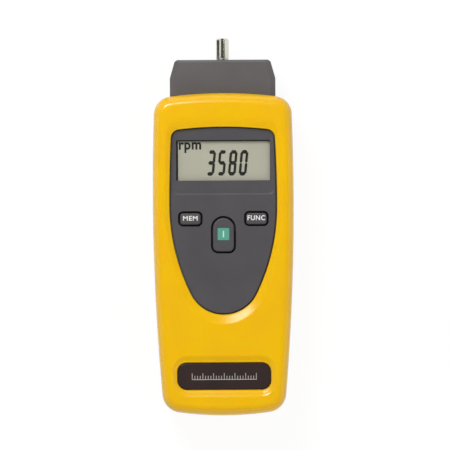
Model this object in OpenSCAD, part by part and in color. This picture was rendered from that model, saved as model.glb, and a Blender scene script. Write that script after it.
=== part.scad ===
// Hand-held laser tachometer with a contact drive shaft, lying on its back.
// +Z points out of the face, +Y runs towards the shaft, and Z = 0 is the resting face.

/* [Case] */
// Greatest width of the yellow case
case_w = 65.4; // [64:0.1:84]
// Length of the yellow case along its centre line
case_l = 149.5; // [148:0.5:190]
// Thickness from the back to the front face
case_t = 38; // [36:0.5:48]
// Height of the parting plane, which is also the shaft's height
split_z = 17; // [16:0.5:21]
// Thickness of the case walls
wall = 2.4; // [2:0.1:2.4]
// Radius of the long curve of each side
side_r = 1070; // [700:5:3000]
// Distance of the widest point from the bottom end
widest_up = 101.5; // [80:0.1:125]
// Radius of the top end's curve
top_r = 203; // [120:1:400]
// Radius of the bottom end's curve
bottom_r = 150; // [80:1:300]
// Corner radius at the top end
top_corner_r = 8.6; // [8.5:0.1:14]
// Corner radius at the bottom end
bottom_corner_r = 9; // [8.5:0.1:14]
// Width of the rounded front edge, seen from the front
front_edge_w = 4.7; // [3:0.1:5]
// Height of the rounded front edge, seen from the side
front_edge_h = 6; // [3:0.1:9]
// Width of the rounded back edge
back_edge_w = 6; // [3:0.1:6]
// Height of the rounded back edge
back_edge_h = 8; // [4:0.1:10]
// Width of the bevel that each shell has along the parting line
seam_bevel = 0.3; // [0.1:0.1:0.6]

/* [Front panel] */
// Greatest width of the panel
panel_w = 49.6; // [48:0.1:50]
// Length of the panel from its top edge to its tip
panel_l = 86.8; // [80:0.1:92]
// Distance from the top end of the case to the panel
panel_drop = 15.8; // [14:0.1:20]
// Thickness of the panel
panel_t = 2.4; // [1.8:0.1:3]
// Radius of the panel's nearly straight sides
panel_side_r = 600; // [400:10:2000]
// Radius of the flanks that run down to the tip
flank_r = 92; // [75:1:100]
// Height above the tip at which the flanks begin
flank_up = 50.5; // [46:0.1:54]
// Radius of the panel's top edge
panel_top_r = 178; // [100:1:400]
// Corner radius at the top of the panel
panel_corner_r = 4; // [2:0.1:6]
// Width of the slope that leads down to the panel's sides
dish_side = 2.8; // [2:0.1:2.9]
// Width of that slope above the panel
dish_top = 4.4; // [2:0.1:5]
// Width of that slope below the panel's tip
dish_tip = 5; // [2:0.1:6]
// Height of the slopes round the panel and the name plate
dish_drop = 1.2; // [0.5:0.1:1.3]
// Depth of the panel and the name plate below the end of their slopes
seat_step = 0.5; // [0.2:0.1:0.6]
// Depth of the shallow recess round the display
recess_d = 0.3; // [0.1:0.05:0.5]
// Distance from the panel's top edge to the end of that recess
recess_l = 31.5; // [29:0.05:34]

/* [Display] */
// Width of the display opening
window_w = 43.4; // [36:0.1:44]
// Height of the display opening
window_h = 18.7; // [14:0.1:20]
// Distance from the panel's top edge to the middle of the display
window_drop = 15.4; // [14:0.1:17]
// Thickness of the display cell
cell_glass_t = 2.4; // [1.5:0.1:3]

/* [Keys] */
// Width of the memory and function keys
key_w = 9.6; // [8:0.1:11.6]
// Height of the memory and function keys
key_h = 5.3; // [4.4:0.1:6.4]
// Distance of those keys from the centre line
key_x = 15.3; // [14.5:0.1:16]
// Distance from the panel's top edge to the middle of those keys
key_drop = 42.5; // [40:0.1:44]
// Width of the power key
power_w = 9.8; // [8:0.1:11.8]
// Height of the power key
power_h = 15.6; // [13:0.1:18.8]
// Distance from the panel's top edge to the middle of the power key
power_drop = 49.9; // [48:0.1:52]
// Gap round each key
key_gap = 0.6; // [0.4:0.05:0.7]
// Height of the keys above the panel
key_rise = 0.6; // [0.3:0.1:0.9]
// How far a key can be pressed
key_travel = 0.8; // [0.5:0.1:1]

/* [Name plate] */
// Width of the name plate
plate_w = 43.5; // [36:0.5:45]
// Height of the name plate
plate_h = 12.6; // [10:0.1:14]
// Corner radius of the name plate
plate_r = 4.3; // [2:0.1:5]
// Thickness of the name plate
plate_t = 0.8; // [0.5:0.1:1]
// Distance from the bottom end to the middle of the name plate
plate_up = 18.25; // [18:0.05:24]
// Width of the slope that leads down to the plate's ends
plate_dish_side = 2; // [1:0.1:2.5]
// Width of that slope above and below the plate
plate_dish_end = 3.6; // [2:0.1:4]

/* [Sensor head and shaft] */
// Width of the sensor head
head_w = 49; // [46:0.5:51]
// Thickness of the sensor head
head_t = 24; // [22:0.5:26]
// How far the head stands out of the case
head_out = 15.5; // [12:0.5:20]
// Length of the slanting part of the head's sides
head_taper_l = 8.6; // [6:0.1:10]
// How far the sides come in along that part
head_taper_in = 2.5; // [1:0.1:4]
// Width of the bevel along the head's edges
head_bevel = 2.4; // [1:0.1:3]
// Diameter of the drive shaft's free end
shaft_d = 6; // [5.8:0.1:7.2]
// Diameter of the drive shaft in its bearings
journal_d = 5; // [4.5:0.1:5]
// How far the shaft stands out of the head
shaft_out = 10; // [8:0.5:14]
// Width and depth of the keyway in the shaft's free end
keyway = 1.2; // [0.8:0.1:1.4]
// Outer diameter of the ball bearings
bearing_d = 13; // [12:0.1:14]
// Width of the ball bearings
bearing_w = 5; // [4:0.1:6]
// Diameter of the encoder disc
disc_d = 23; // [21:0.5:23]
// Number of slots in the encoder disc
disc_slots = 20; // [12:2:24]
// Diameter of the laser module
laser_d = 9; // [8:0.1:10]
// Diameter of the receiver lens
lens_d = 10; // [8:0.1:10]
// Distance of the laser and the receiver from the shaft
optic_x = 12.5; // [12:0.1:14]

/* [Power and board] */
// Diameter of a battery cell
cell_d = 14.2; // [12:0.1:17.1]
// Length of a battery cell with its button
cell_l = 50.5; // [44:0.5:54]
// Length of a compressed contact spring
spring_l = 4.5; // [3:0.1:6]
// Thickness of the battery door
door_t = 1.6; // [1.2:0.1:2]
// Width of the circuit board
board_w = 50; // [46:0.5:52]
// Length of the circuit board
board_l = 66; // [60:0.5:70]
// Depth of the board's upper face below the face of the case
board_drop = 10.4; // [9.5:0.1:10.4]

/* [Hidden] */
$fn = 48;

case_yellow = "#f0be0a";
dark_grey = "#525054";
black = "#26262a";
steel = "#b9bcc0";
board_green = "#2f6b46";

// General clearances
fit_gap = 0.2;
snug_gap = 0.02;
cut = 1;

// Levels along the object, from the shaft's tip down to the bottom end
shaft_y = (case_l + head_out + shaft_out) / 2;
head_y = shaft_y - shaft_out;
top_y = head_y - head_out;
bottom_y = top_y - case_l;
widest_y = bottom_y + widest_up;
panel_y = top_y - panel_drop;
tip_y = panel_y - panel_l;
window_y = panel_y - window_drop;
key_y = panel_y - key_drop;
power_y = panel_y - power_drop;
plate_y = bottom_y + plate_up;

// Levels from the face of the case down to the board
face_z = case_t;
lip_z = face_z - dish_drop;
panel_z = lip_z - seat_step;
seat_z = panel_z - panel_t;
pan_t = 1.6;
pan_z = seat_z - pan_t;
board_z = face_z - board_drop;
board_t = 1.6;
plate_z = lip_z - seat_step;
plate_seat_z = plate_z - plate_t;

function unit(a) = [cos(a), sin(a)];
function heading(v) = atan2(v.y, v.x);

// Centre of the circle of radius r that touches two larger circles from inside, on the right
function inner_fillet(c1, r1, c2, r2, r) =
    let (d = norm(c2 - c1),
        u = (c2 - c1) / d,
        along = ((r1 - r) ^ 2 - (r2 - r) ^ 2 + d ^ 2) / (2 * d),
        across = sqrt((r1 - r) ^ 2 - along ^ 2),
        p = c1 + along * u + across * [-u.y, u.x],
        q = c1 + along * u - across * [-u.y, u.x])
    p.x > q.x ? p : q;

// An arc is [centre, radius, first angle, last angle, steps]; an inset keeps its centre
function arc_points(arc, inset) =
    [for (i = [0 : arc[4] - 1])
        arc[0] + (arc[1] - inset) * unit(arc[2] + (arc[3] - arc[2]) * i / arc[4])];

// Closed outline, anticlockwise, from the arcs of its right half, bottom to top
function mirrored_outline(arcs, inset) =
    let (right = [for (arc = arcs) each arc_points(arc, inset)],
        last = arcs[len(arcs) - 1],
        top = last[0] + (last[1] - inset) * unit(last[3]))
    concat(right, [top], [for (i = [len(right) - 1 : -1 : 1]) [-right[i].x, right[i].y]]);

// Rectangle with rounded corners, centred at the origin
corner_steps = 6;
function round_rect(w, h, r, inset = 0) =
    [for (q = [0 : 3], i = [0 : corner_steps])
        let (s = [q == 0 || q == 3 ? 1 : -1, q < 2 ? 1 : -1])
        [s.x * (w / 2 - r), s.y * (h / 2 - r)] + (r - inset) * unit(90 * (q + i / corner_steps))];

// Arched key: half-round at the top, small corners at the bottom
arch_steps = 12;
function arch(w, h, r, inset = 0) =
    concat(
        [for (i = [0 : arch_steps]) [0, (h - w) / 2] + (w / 2 - inset) * unit(180 * i / arch_steps)],
        [for (s = [-1, 1], i = [0 : corner_steps])
            [s * (w / 2 - r), r - h / 2] + (r - inset) * unit(225 + s * 45 + 90 * i / corner_steps)]);

// Outline of the case
side_c = [case_w / 2 - side_r, widest_y];
top_c = [0, top_y - top_r];
bottom_c = [0, bottom_y + bottom_r];
top_corner_c = inner_fillet(side_c, side_r, top_c, top_r, top_corner_r);
bottom_corner_c = inner_fillet(side_c, side_r, bottom_c, bottom_r, bottom_corner_r);
end_steps = 6;
bend_steps = 9;
side_steps = 8;
case_arcs = [
    [bottom_c, bottom_r, -90, heading(bottom_corner_c - bottom_c), end_steps],
    [bottom_corner_c, bottom_corner_r, heading(bottom_corner_c - bottom_c),
        heading(bottom_corner_c - side_c), bend_steps],
    [side_c, side_r, heading(bottom_corner_c - side_c), heading(top_corner_c - side_c), side_steps],
    [top_corner_c, top_corner_r, heading(top_corner_c - side_c), heading(top_corner_c - top_c), bend_steps],
    [top_c, top_r, heading(top_corner_c - top_c), 90, end_steps]];
function case_outline(inset) = mirrored_outline(case_arcs, inset);
function case_half_w(y) = side_c.x + sqrt(side_r ^ 2 - (y - widest_y) ^ 2);

// Outline of the front panel, let out by so much at its sides, tip and top;
// the tip's circle touches both flanks
flank_y = tip_y + flank_up;
flank_c = [panel_w / 2 - flank_r, flank_y];
panel_side_c = [panel_w / 2 - panel_side_r, flank_y];
panel_top_c = [0, panel_y - panel_top_r];
function panel_arcs(side, tip, top) =
    let (reach = flank_r + side + tip_y - tip,
        tip_c = [0, (reach ^ 2 - flank_c.x ^ 2 - flank_y ^ 2) / (2 * (reach - flank_y))],
        tip_turn = heading(tip_c - flank_c),
        corner_r = panel_corner_r + (side + top) / 2,
        corner_c = inner_fillet(panel_side_c, panel_side_r + side, panel_top_c, panel_top_r + top, corner_r),
        side_turn = heading(corner_c - panel_side_c),
        top_turn = heading(corner_c - panel_top_c))
    [[tip_c, tip_c.y - tip_y + tip, -90, tip_turn, bend_steps],
        [flank_c, flank_r + side, tip_turn, 0, side_steps],
        [panel_side_c, panel_side_r + side, 0, side_turn, 2],
        [corner_c, corner_r, side_turn, top_turn, corner_steps],
        [panel_top_c, panel_top_r + top, top_turn, 90, end_steps]];
function panel_outline(inset) = mirrored_outline(panel_arcs(0, 0, 0), inset);

// Outline of the name plate, let out by so much at its ends and its long sides
function plate_rim(side, end) =
    [for (p = round_rect(plate_w + 2 * side, plate_h + 2 * end, plate_r + side)) p + [0, plate_y]];
function plate_outline(inset) = plate_rim(-inset, -inset);

// Solid through a stack of outlines, each given as [points, height], from the lowest up
module loft(rings) {
    n = len(rings[0][0]);
    m = len(rings);
    polyhedron(
        points = [for (ring = rings) for (p = ring[0]) [p.x, p.y, ring[1]]],
        faces = concat(
            [[for (j = [0 : n - 1]) j]],
            [for (i = [0 : m - 2]) for (j = [0 : n - 1])
                let (k = (j + 1) % n)
                [i * n + j, (i + 1) * n + j, (i + 1) * n + k, i * n + k]],
            [[for (j = [n - 1 : -1 : 0]) (m - 1) * n + j]]),
        convexity = 6);
}

module prism(points, z0, z1) {
    translate([0, 0, z0]) linear_extrude(z1 - z0) polygon(points);
}

// Box given by its lowest and highest corners
module block(low, high) {
    translate(low) cube(high - low);
}

// Cylinder along +Y, starting at y0
module rod(d, y0, y1, x = 0, z = split_z) {
    translate([x, y0, z]) rotate([-90, 0, 0]) cylinder(d = d, h = y1 - y0);
}

// Rounded edges follow a quarter ellipse in this many steps
edge_steps = 7;

module front_outer() {
    loft(concat(
        [[case_outline(seam_bevel), split_z], [case_outline(0), split_z + seam_bevel]],
        [for (i = [0 : edge_steps]) let (a = 90 * i / edge_steps)
            [case_outline(front_edge_w * (1 - cos(a))), face_z - front_edge_h * (1 - sin(a))]]));
}

module rear_outer() {
    loft(concat(
        [for (i = [edge_steps : -1 : 0]) let (a = 90 * i / edge_steps)
            [case_outline(back_edge_w * (1 - cos(a))), back_edge_h * (1 - sin(a))]],
        [[case_outline(0), split_z - seam_bevel], [case_outline(seam_bevel), split_z]]));
}

// The inner walls follow the outer ones, with a chamfer under the rounded edge
module front_cavity() {
    chamfer = front_edge_w / 2;
    loft([
        [case_outline(wall), split_z - cut],
        [case_outline(wall), face_z - wall - chamfer],
        [case_outline(wall + chamfer), face_z - wall]]);
}

inner_steps = 4;
module rear_cavity() {
    loft(concat(
        [for (i = [inner_steps : -1 : 0]) let (a = 90 * i / inner_steps)
            [case_outline(wall + back_edge_w * (1 - cos(a))), wall + back_edge_h * (1 - sin(a))]],
        [[case_outline(wall), split_z + cut]]));
}

// A sloping dish and the straight-walled pocket below it, through outlines that widen upwards
dish_steps = 6;
module dish_cut(outlines, pocket_z) {
    loft(concat(
        [[outlines[0], pocket_z]],
        [for (i = [0 : dish_steps])
            [outlines[i], lip_z + (face_z - lip_z) * (1 - cos(180 * i / dish_steps)) / 2]],
        [[outlines[dish_steps], face_z + cut]]));
}
function dish_outset(width, i) = fit_gap + width * i / dish_steps;

// Battery door: a plate with side rails that slides off towards the bottom end
door_z = 0.3;
door_side = 2.4;
door_half_w = cell_d + door_side;
rail_w = 1.2;
rail_h = 0.8;
door_gap = 0.3;

// Case screws go in from the back; the two ends have a pair each
screw_d = 2.8;
screw_head_d = 5.4;
screw_head_h = 1.8;
screw_sink = 1.4;
screw_end_z = split_z + 9;
boss_d = 6.8;
screw_in = 6.6;
screw_up = 14;
screw_down = 15;
screw_clear_x = door_half_w + rail_w + door_gap + screw_head_d / 2 + 2 * fit_gap;
low_screw_y = bottom_y + screw_up;
low_screw_x = max(case_half_w(low_screw_y) - screw_in, screw_clear_x);
high_screw_y = top_y - screw_down;
high_screw_x = case_half_w(high_screw_y) - screw_in;
screw_spots = [for (s = [-1, 1]) each [[s * low_screw_x, low_screw_y], [s * high_screw_x, high_screw_y]]];

// Board screws go up into bosses under the face
board_screw_d = 2;
board_screw_head_d = 3.8;
board_screw_head_h = 1.3;
board_screw_l = 5;
board_screw_gap = 0.4;
board_boss_d = 5;
board_top_y = panel_y;
board_bottom_y = board_top_y - board_l;
board_screw_side = 0.75;
board_screw_above_keys = 7.3;
board_screw_beside_power = 9;
board_screw_up = 3.2;
board_screw_spots = [for (s = [-1, 1]) each [
    [s * (panel_w / 2 - board_screw_side), key_y + key_h / 2 + board_screw_above_keys],
    [s * (power_w / 2 + board_screw_beside_power), board_bottom_y + board_screw_up]]];

// The shells meet in a lip that stands up from the rear one
lip_h = 1.5;
lip_in = (wall + fit_gap) / 2;

// Opening in the top end for the sensor head
module head_opening() {
    block([-head_w / 2 - fit_gap, ear_y0 - fit_gap, split_z - head_t / 2 - fit_gap],
        [head_w / 2 + fit_gap, head_y + cut, split_z + head_t / 2 + fit_gap]);
}

lcd_side = 1.65;
lcd_end = 2.2;
lcd_w = window_w + 2 * lcd_side;
lcd_h = window_h + 2 * lcd_end;
lcd_r = 0.5;
lcd_z = seat_z - fit_gap / 2;
lcd_gap = 0.5;

module key_holes(z0, z1, gap) {
    for (s = [-1, 1])
        translate([s * key_x, key_y]) prism(round_rect(key_w, key_h, key_corner_r, -gap), z0, z1);
    translate([0, power_y]) prism(arch(power_w, power_h, power_corner_r, -gap), z0, z1);
}

module front_shell() {
    color(case_yellow) difference() {
        union() {
            difference() {
                front_outer();
                front_cavity();
            }
            prism(panel_outline(-pan_t), pan_z, face_z - wall + cut);
            prism(plate_outline(-pan_t), plate_seat_z - pan_t, face_z - wall + cut);
            for (p = screw_spots)
                translate([p.x, p.y, split_z]) cylinder(d = boss_d, h = face_z - wall - split_z + cut);
            for (p = board_screw_spots)
                translate([p.x, p.y, board_z]) cylinder(d = board_boss_d, h = pan_z - board_z + cut / 2);
        }
        dish_cut([for (i = [0 : dish_steps]) mirrored_outline(panel_arcs(dish_outset(dish_side, i),
            dish_outset(dish_tip, i), dish_outset(dish_top, i)), 0)], seat_z);
        dish_cut([for (i = [0 : dish_steps]) plate_rim(dish_outset(plate_dish_side, i),
            dish_outset(plate_dish_end, i))], plate_seat_z);
        translate([0, window_y]) prism(round_rect(lcd_w, lcd_h, lcd_r, -lcd_gap),
            pan_z - cut, seat_z + cut);
        key_holes(pan_z - cut, seat_z + cut, key_gap);
        difference() {
            prism(case_outline(lip_in - fit_gap / 2), split_z - cut, split_z + lip_h + fit_gap / 2);
            prism(case_outline(wall + fit_gap), split_z - 2 * cut, split_z + lip_h + cut);
        }
        head_opening();
        for (p = screw_spots)
            translate([p.x, p.y, split_z - cut])
                cylinder(d = screw_d + 2 * snug_gap, h = screw_end_z - split_z + 2 * cut);
        for (p = board_screw_spots)
            translate([p.x, p.y, board_z - cut])
                cylinder(d = board_screw_d + 2 * snug_gap,
                    h = board_screw_l - board_t + cut + board_screw_gap);
    }
}

// Battery compartment, open towards the door
contact_t = 0.5;
contact_gap = 0.2;
bay_side = 1.2;
bay_half_w = cell_d + bay_side;
bay_l = cell_l + spring_l + 2 * contact_t + 3 * contact_gap;
bay_up = 6;
bay_y0 = bottom_y + bay_up;
bay_y1 = bay_y0 + bay_l;
bay_wall = 1.5;
cell_side_gap = 0.3;
cell_gap = 0.4;
cell_x = cell_d / 2 + cell_side_gap;
cell_z = door_z + door_t + cell_gap + cell_d / 2;
bay_z1 = cell_z + cell_d / 2 + cell_gap;
door_y1 = bay_y1 + bay_wall;
door_frame_t = 2;

// Bearing carrier on the floor of the rear shell, behind the sensor head
carrier_gap = 1;
carrier_l = 17;
carrier_y1 = top_y - wall - back_edge_w - carrier_gap;
carrier_y0 = carrier_y1 - carrier_l;
carrier_half_w = 13;
carrier_t = 2;
carrier_top_z = wall + carrier_t;
carrier_screw_side = 2.5;
carrier_screw_end = 3;
carrier_screw_spots = [for (s = [-1, 1])
    [s * (carrier_half_w - carrier_screw_side), carrier_y1 - carrier_screw_end]];
carrier_screw_l = 3.4;

// The head's ears sit behind the end wall, between its inner curve and stops on the floor
ear_w = 1.5;
ear_t = 2.4;
ear_h = 14;
ear_x = head_w / 2 + ear_w;
ear_top_y = top_c.y + sqrt((top_r - wall) ^ 2 - ear_x ^ 2);
ear_corner_y = top_corner_c.y
    + sqrt((top_corner_r - wall) ^ 2 - max(0, ear_x - top_corner_c.x) ^ 2);
ear_y1 = (ear_x > top_corner_c.x ? min(ear_top_y, ear_corner_y) : ear_top_y) - fit_gap;
ear_y0 = ear_y1 - ear_t;
stop_w = 7;
stop_t = 2;

// Stiffening ribs on the floor, between the battery bay and the bearing carrier
rib_t = 1.2;
rib_h = 2.4;
rib_count = 4;
rib_in = 1.5;
rib_y0 = door_y1 + bay_wall;
rib_y1 = carrier_y0 - carrier_gap;

module floor_ribs() {
    pitch = (rib_y1 - rib_y0) / rib_count;
    block([-rib_t / 2, rib_y0, wall / 2], [rib_t / 2, rib_y1, wall + rib_h]);
    for (i = [1 : rib_count]) {
        y = rib_y0 + pitch * (i - 0.5);
        half_w = case_half_w(y) - wall - rib_in;
        block([-half_w, y - rib_t / 2, wall / 2], [half_w, y + rib_t / 2, wall + rib_h]);
    }
}

module rear_shell() {
    color(case_yellow) difference() {
        union() {
            difference() {
                rear_outer();
                rear_cavity();
            }
            intersection() {
                rear_outer();
                block([-door_half_w - rail_w - 2 * bay_wall, bottom_y, cut],
                    [door_half_w + rail_w + 2 * bay_wall, door_y1 + 2 * bay_wall, wall + door_frame_t]);
            }
            block([-bay_half_w - bay_wall, bay_y0 - bay_wall, wall],
                [bay_half_w + bay_wall, bay_y1 + bay_wall, bay_z1 + bay_wall]);
            for (p = screw_spots)
                translate([p.x, p.y, wall - cut]) cylinder(d = boss_d, h = split_z - wall + cut);
            intersection() {
                rear_outer();
                union() {
                    for (s = [-1, 1])
                        translate([s * ear_x - stop_w / 2, ear_y0 - fit_gap - stop_t, wall / 2])
                            cube([stop_w, stop_t, split_z]);
                    floor_ribs();
                }
            }
            difference() {
                prism(case_outline(lip_in), split_z - cut, split_z + lip_h);
                prism(case_outline(wall), split_z - 2 * cut, split_z + lip_h + cut);
            }
        }
        block([-bay_half_w, bay_y0, -cut], [bay_half_w, bay_y1, bay_z1]);
        block([-door_half_w - door_gap, bottom_y - cut, -cut],
            [door_half_w + door_gap, door_y1 + door_gap, door_z + door_t + door_gap]);
        block([-door_half_w - rail_w - door_gap, bottom_y - cut, door_z + door_t - rail_h - door_gap],
            [door_half_w + rail_w + door_gap, door_y1 + door_gap, door_z + door_t + door_gap]);
        head_opening();
        for (p = screw_spots) translate([p.x, p.y]) {
            translate([0, 0, -cut])
                cylinder(d = screw_head_d + 2 * fit_gap, h = screw_sink + screw_head_h + cut);
            cylinder(d = screw_d + 2 * fit_gap, h = split_z + cut);
        }
        for (p = carrier_screw_spots)
            translate([p.x, p.y, carrier_top_z - carrier_screw_l - fit_gap])
                cylinder(d = board_screw_d + 2 * snug_gap, h = carrier_screw_l);
    }
}

grip_count = 5;
grip_w = 16;
grip_groove = 1.2;
grip_pitch = 2.6;
grip_in = 12;
module battery_door() {
    plate_z1 = door_z + door_t;
    color(case_yellow) difference() {
        intersection() {
            rear_outer();
            union() {
                block([-door_half_w, bottom_y, door_z], [door_half_w, door_y1, plate_z1]);
                block([-door_half_w - rail_w, bottom_y, plate_z1 - rail_h],
                    [door_half_w + rail_w, door_y1, plate_z1]);
            }
        }
        for (i = [0 : grip_count - 1])
            translate([-grip_w / 2, door_y1 - grip_in - i * grip_pitch, door_z - cut])
                cube([grip_w, grip_groove, cut + door_t / 3]);
    }
}

// Pan-head screw standing on its head, with a cross recess
module screw(d, head_d, head_h, l) {
    cross_l = head_d / 1.5;
    cross_w = head_d / 6;
    difference() {
        union() {
            cylinder(d = head_d, h = head_h);
            cylinder(d = d, h = head_h + l);
        }
        for (a = [0, 90])
            rotate(a) translate([-cross_l / 2, -cross_w / 2, -cut])
                cube([cross_l, cross_w, cut + head_h / 2]);
    }
}

module case_screws() {
    color(steel) for (p = screw_spots)
        translate([p.x, p.y, screw_sink])
            screw(screw_d, screw_head_d, screw_head_h, screw_end_z - screw_sink - screw_head_h);
}

// Display, its window and what carries it
lens_side = 1.4;
lens_flange_w = window_w + 2 * lens_side;
lens_flange_h = window_h + 2 * lens_side;
lens_flange_t = 1;
lens_flange_r = 1;
lens_sink = 0.3;
lens_z = panel_z - recess_d - lens_sink;
window_r = 0.5;
panel_edge = 0.4;
recess_in = 0.6;
recess_r = 3;

module panel_body() {
    loft([
        [panel_outline(0), seat_z],
        [panel_outline(0), panel_z - panel_edge],
        [panel_outline(panel_edge / 3), panel_z - panel_edge / 3],
        [panel_outline(panel_edge), panel_z]]);
}

module front_panel() {
    color(dark_grey) difference() {
        panel_body();
        intersection() {
            prism(panel_outline(recess_in), panel_z - recess_d, panel_z + cut);
            translate([0, panel_y - recess_l + panel_l / 2])
                prism(round_rect(panel_w - 2 * recess_in, panel_l, recess_r),
                    panel_z - 2 * cut, panel_z + 2 * cut);
        }
        translate([0, window_y]) {
            prism(round_rect(window_w, window_h, window_r), seat_z - cut, panel_z + cut);
            prism(round_rect(lens_flange_w, lens_flange_h, lens_flange_r, -fit_gap),
                seat_z - cut, seat_z + lens_flange_t);
        }
        key_holes(seat_z - cut, panel_z + cut, key_gap);
    }
}

module display_window() {
    color("#c9d2c4", 0.4) translate([0, window_y]) {
        prism(round_rect(lens_flange_w, lens_flange_h, lens_flange_r), seat_z, seat_z + lens_flange_t);
        prism(round_rect(window_w, window_h, window_r, fit_gap / 2), seat_z, lens_z);
    }
}

module display_cell() {
    color("#b6b8a4") translate([0, window_y])
        prism(round_rect(lcd_w, lcd_h, lcd_r), lcd_z - cell_glass_t, lcd_z);
}

frame_wall = 1.4;
frame_lip = 1.2;
module display_frame() {
    color("#e8e8e4") translate([0, window_y]) difference() {
        prism(round_rect(lcd_w, lcd_h, lcd_r, -frame_wall), board_z, pan_z - fit_gap);
        prism(round_rect(lcd_w - 2 * frame_lip, lcd_h - 2 * frame_lip, lcd_r), board_z - cut, pan_z);
        prism(round_rect(lcd_w, lcd_h, lcd_r, -fit_gap), lcd_z - cell_glass_t, pan_z);
    }
}

strip_t = 2;
module connector_strips() {
    strip_l = lcd_w - 2 * frame_lip - 2 * fit_gap;
    strip_y = lcd_h / 2 - frame_lip - fit_gap - strip_t / 2;
    color("#c98fa0") for (s = [-1, 1])
        translate([-strip_l / 2, window_y + s * strip_y - strip_t / 2, board_z])
            cube([strip_l, strip_t, lcd_z - cell_glass_t - board_z]);
}

// Keys: a cap with rounded edges over a flange that the case holds down
key_corner_r = 1.4;
power_corner_r = 2.4;
key_edge = 0.7;
key_flange_w = 1.2;
key_flange_t = 1.1;
key_z = panel_z + key_rise;
flange_z = pan_z - fit_gap - key_flange_t;
key_steps = 3;

module key_cap(outlines, flange) {
    prism(flange, flange_z, flange_z + key_flange_t);
    loft(concat(
        [[outlines[0], flange_z + key_flange_t / 2]],
        [for (i = [0 : key_steps]) [outlines[i], key_z - key_edge * (1 - sin(90 * i / key_steps))]]));
}
function key_inset(i) = key_edge * (1 - cos(90 * i / key_steps));

module small_key(s) {
    color(dark_grey) translate([s * key_x, key_y]) key_cap(
        [for (i = [0 : key_steps]) round_rect(key_w, key_h, key_corner_r, key_inset(i))],
        round_rect(key_w, key_h, key_corner_r, -key_flange_w));
}

module mem_key() {
    small_key(-1);
}

module func_key() {
    small_key(1);
}

module power_key() {
    color(dark_grey) translate([0, power_y]) key_cap(
        [for (i = [0 : key_steps]) arch(power_w, power_h, power_corner_r, key_inset(i))],
        arch(power_w, power_h, power_corner_r, -key_flange_w));
}

// Tactile switches on the board: a square body, and a plunger that follows its key
switch_w = 6;
switch_r = 0.5;
switch_h = 2.4;
switch_z = board_z + switch_h;
plunger_d = 3.4;
plunger_gap = 0.3;
plunger_in = 1.2;
plunger_z = switch_z - plunger_in;
switch_spots = [[-key_x, key_y], [key_x, key_y], [0, power_y]];

module key_switches() {
    color(black) for (p = switch_spots)
        translate([p.x, p.y]) difference() {
            prism(round_rect(switch_w, switch_w, switch_r), board_z, switch_z);
            translate([0, 0, plunger_z - key_travel - plunger_gap])
                cylinder(d = plunger_d + 2 * plunger_gap, h = plunger_in + plunger_gap + key_travel + cut);
        }
}

module plunger(p) {
    color("#d8d8d4") translate([p.x, p.y, plunger_z]) cylinder(d = plunger_d, h = flange_z - plunger_z);
}

module mem_plunger() {
    plunger(switch_spots[0]);
}

module func_plunger() {
    plunger(switch_spots[1]);
}

module power_plunger() {
    plunger(switch_spots[2]);
}

module name_plate() {
    edge = plate_t / 3;
    color(black) loft([
        [plate_outline(0), plate_seat_z],
        [plate_outline(0), plate_z - edge],
        [plate_outline(edge), plate_z]]);
}

// Circuit board, notched round the case bosses
board_notch = 0.6;
module circuit_board() {
    color(board_green) difference() {
        block([-board_w / 2, board_bottom_y, board_z - board_t], [board_w / 2, board_top_y, board_z]);
        for (p = screw_spots)
            translate([p.x, p.y, board_z - board_t - cut])
                cylinder(d = boss_d + 2 * board_notch, h = board_t + 2 * cut);
        for (p = board_screw_spots)
            translate([p.x, p.y, board_z - board_t - cut])
                cylinder(d = board_screw_d + 2 * fit_gap, h = board_t + 2 * cut);
    }
}

chip_drop = 14;
chip_w = 12;
chip_t = 1.6;
chip_legs = 8;
leg_pitch = 1.2;
leg_w = 0.4;
leg_l = 1.5;
leg_in = 0.1;
module controller_chip() {
    body_z = board_z - board_t - chip_t;
    leg_z = body_z + chip_t / 2;
    color(black) translate([0, window_y - chip_drop]) {
        translate([-chip_w / 2, -chip_w / 2, body_z]) cube([chip_w, chip_w, chip_t]);
        for (q = [0 : 3], i = [0 : chip_legs - 1])
            rotate(90 * q)
                translate([(i - (chip_legs - 1) / 2) * leg_pitch - leg_w / 2, chip_w / 2 - leg_in, leg_z])
                    cube([leg_w, leg_l, chip_t / 2]);
    }
}

module board_screws() {
    color(steel) for (p = board_screw_spots)
        translate([p.x, p.y, board_z - board_t - board_screw_head_h])
            screw(board_screw_d, board_screw_head_d, board_screw_head_h, board_screw_l);
}

// Sensor head: a hollow block whose sides slant in near its end, with ears inside the case
head_end_t = 3;
head_end_bevel = 1.1;
head_corner = 0.9;
head_wall = 2.4;
bearing_in = 1.5;
bearing_y1 = head_y - head_end_t - bearing_in;
bearing_y0 = bearing_y1 - bearing_w;
bearing_boss_wall = 2;
bearing_boss_d = bearing_d + 2 * bearing_boss_wall;
sleeve_wall = 1.6;
sleeve_l = 10.5;
sleeve_y0 = head_y - head_end_t - sleeve_l;
shaft_gap = 0.3;
ring_relief = 0.5;
window_d = 7;
window_t = 1.4;
window_sink = 0.4;
laser_hole_d = 4;
sensor_d = 8.2;
sensor_base_d = 9.2;
sensor_l = 6.5;
sensor_base_l = 1;
lens_seat_t = 2;
lens_ledge = 1;

// Outline of the head seen from the front, drawn in at its sides and its end
function head_plan(side_in, end_in) =
    let (w = head_w / 2 - side_in, e = w - head_taper_in, y = head_y - end_in, c = head_corner)
    [[-w, ear_y0], [w, ear_y0], [w, head_y - head_taper_l],
        [e + c / 3, y - c], [e - c, y],
        [c - e, y], [-e - c / 3, y - c], [-w, head_y - head_taper_l]];

module head_block(inset, end_in) {
    t = head_t / 2 - inset;
    inner = head_plan(inset + head_bevel, end_in + head_end_bevel);
    outer = head_plan(inset, end_in);
    translate([0, 0, split_z])
        loft([[inner, -t], [outer, head_bevel - t], [outer, t - head_bevel], [inner, t]]);
}

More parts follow.
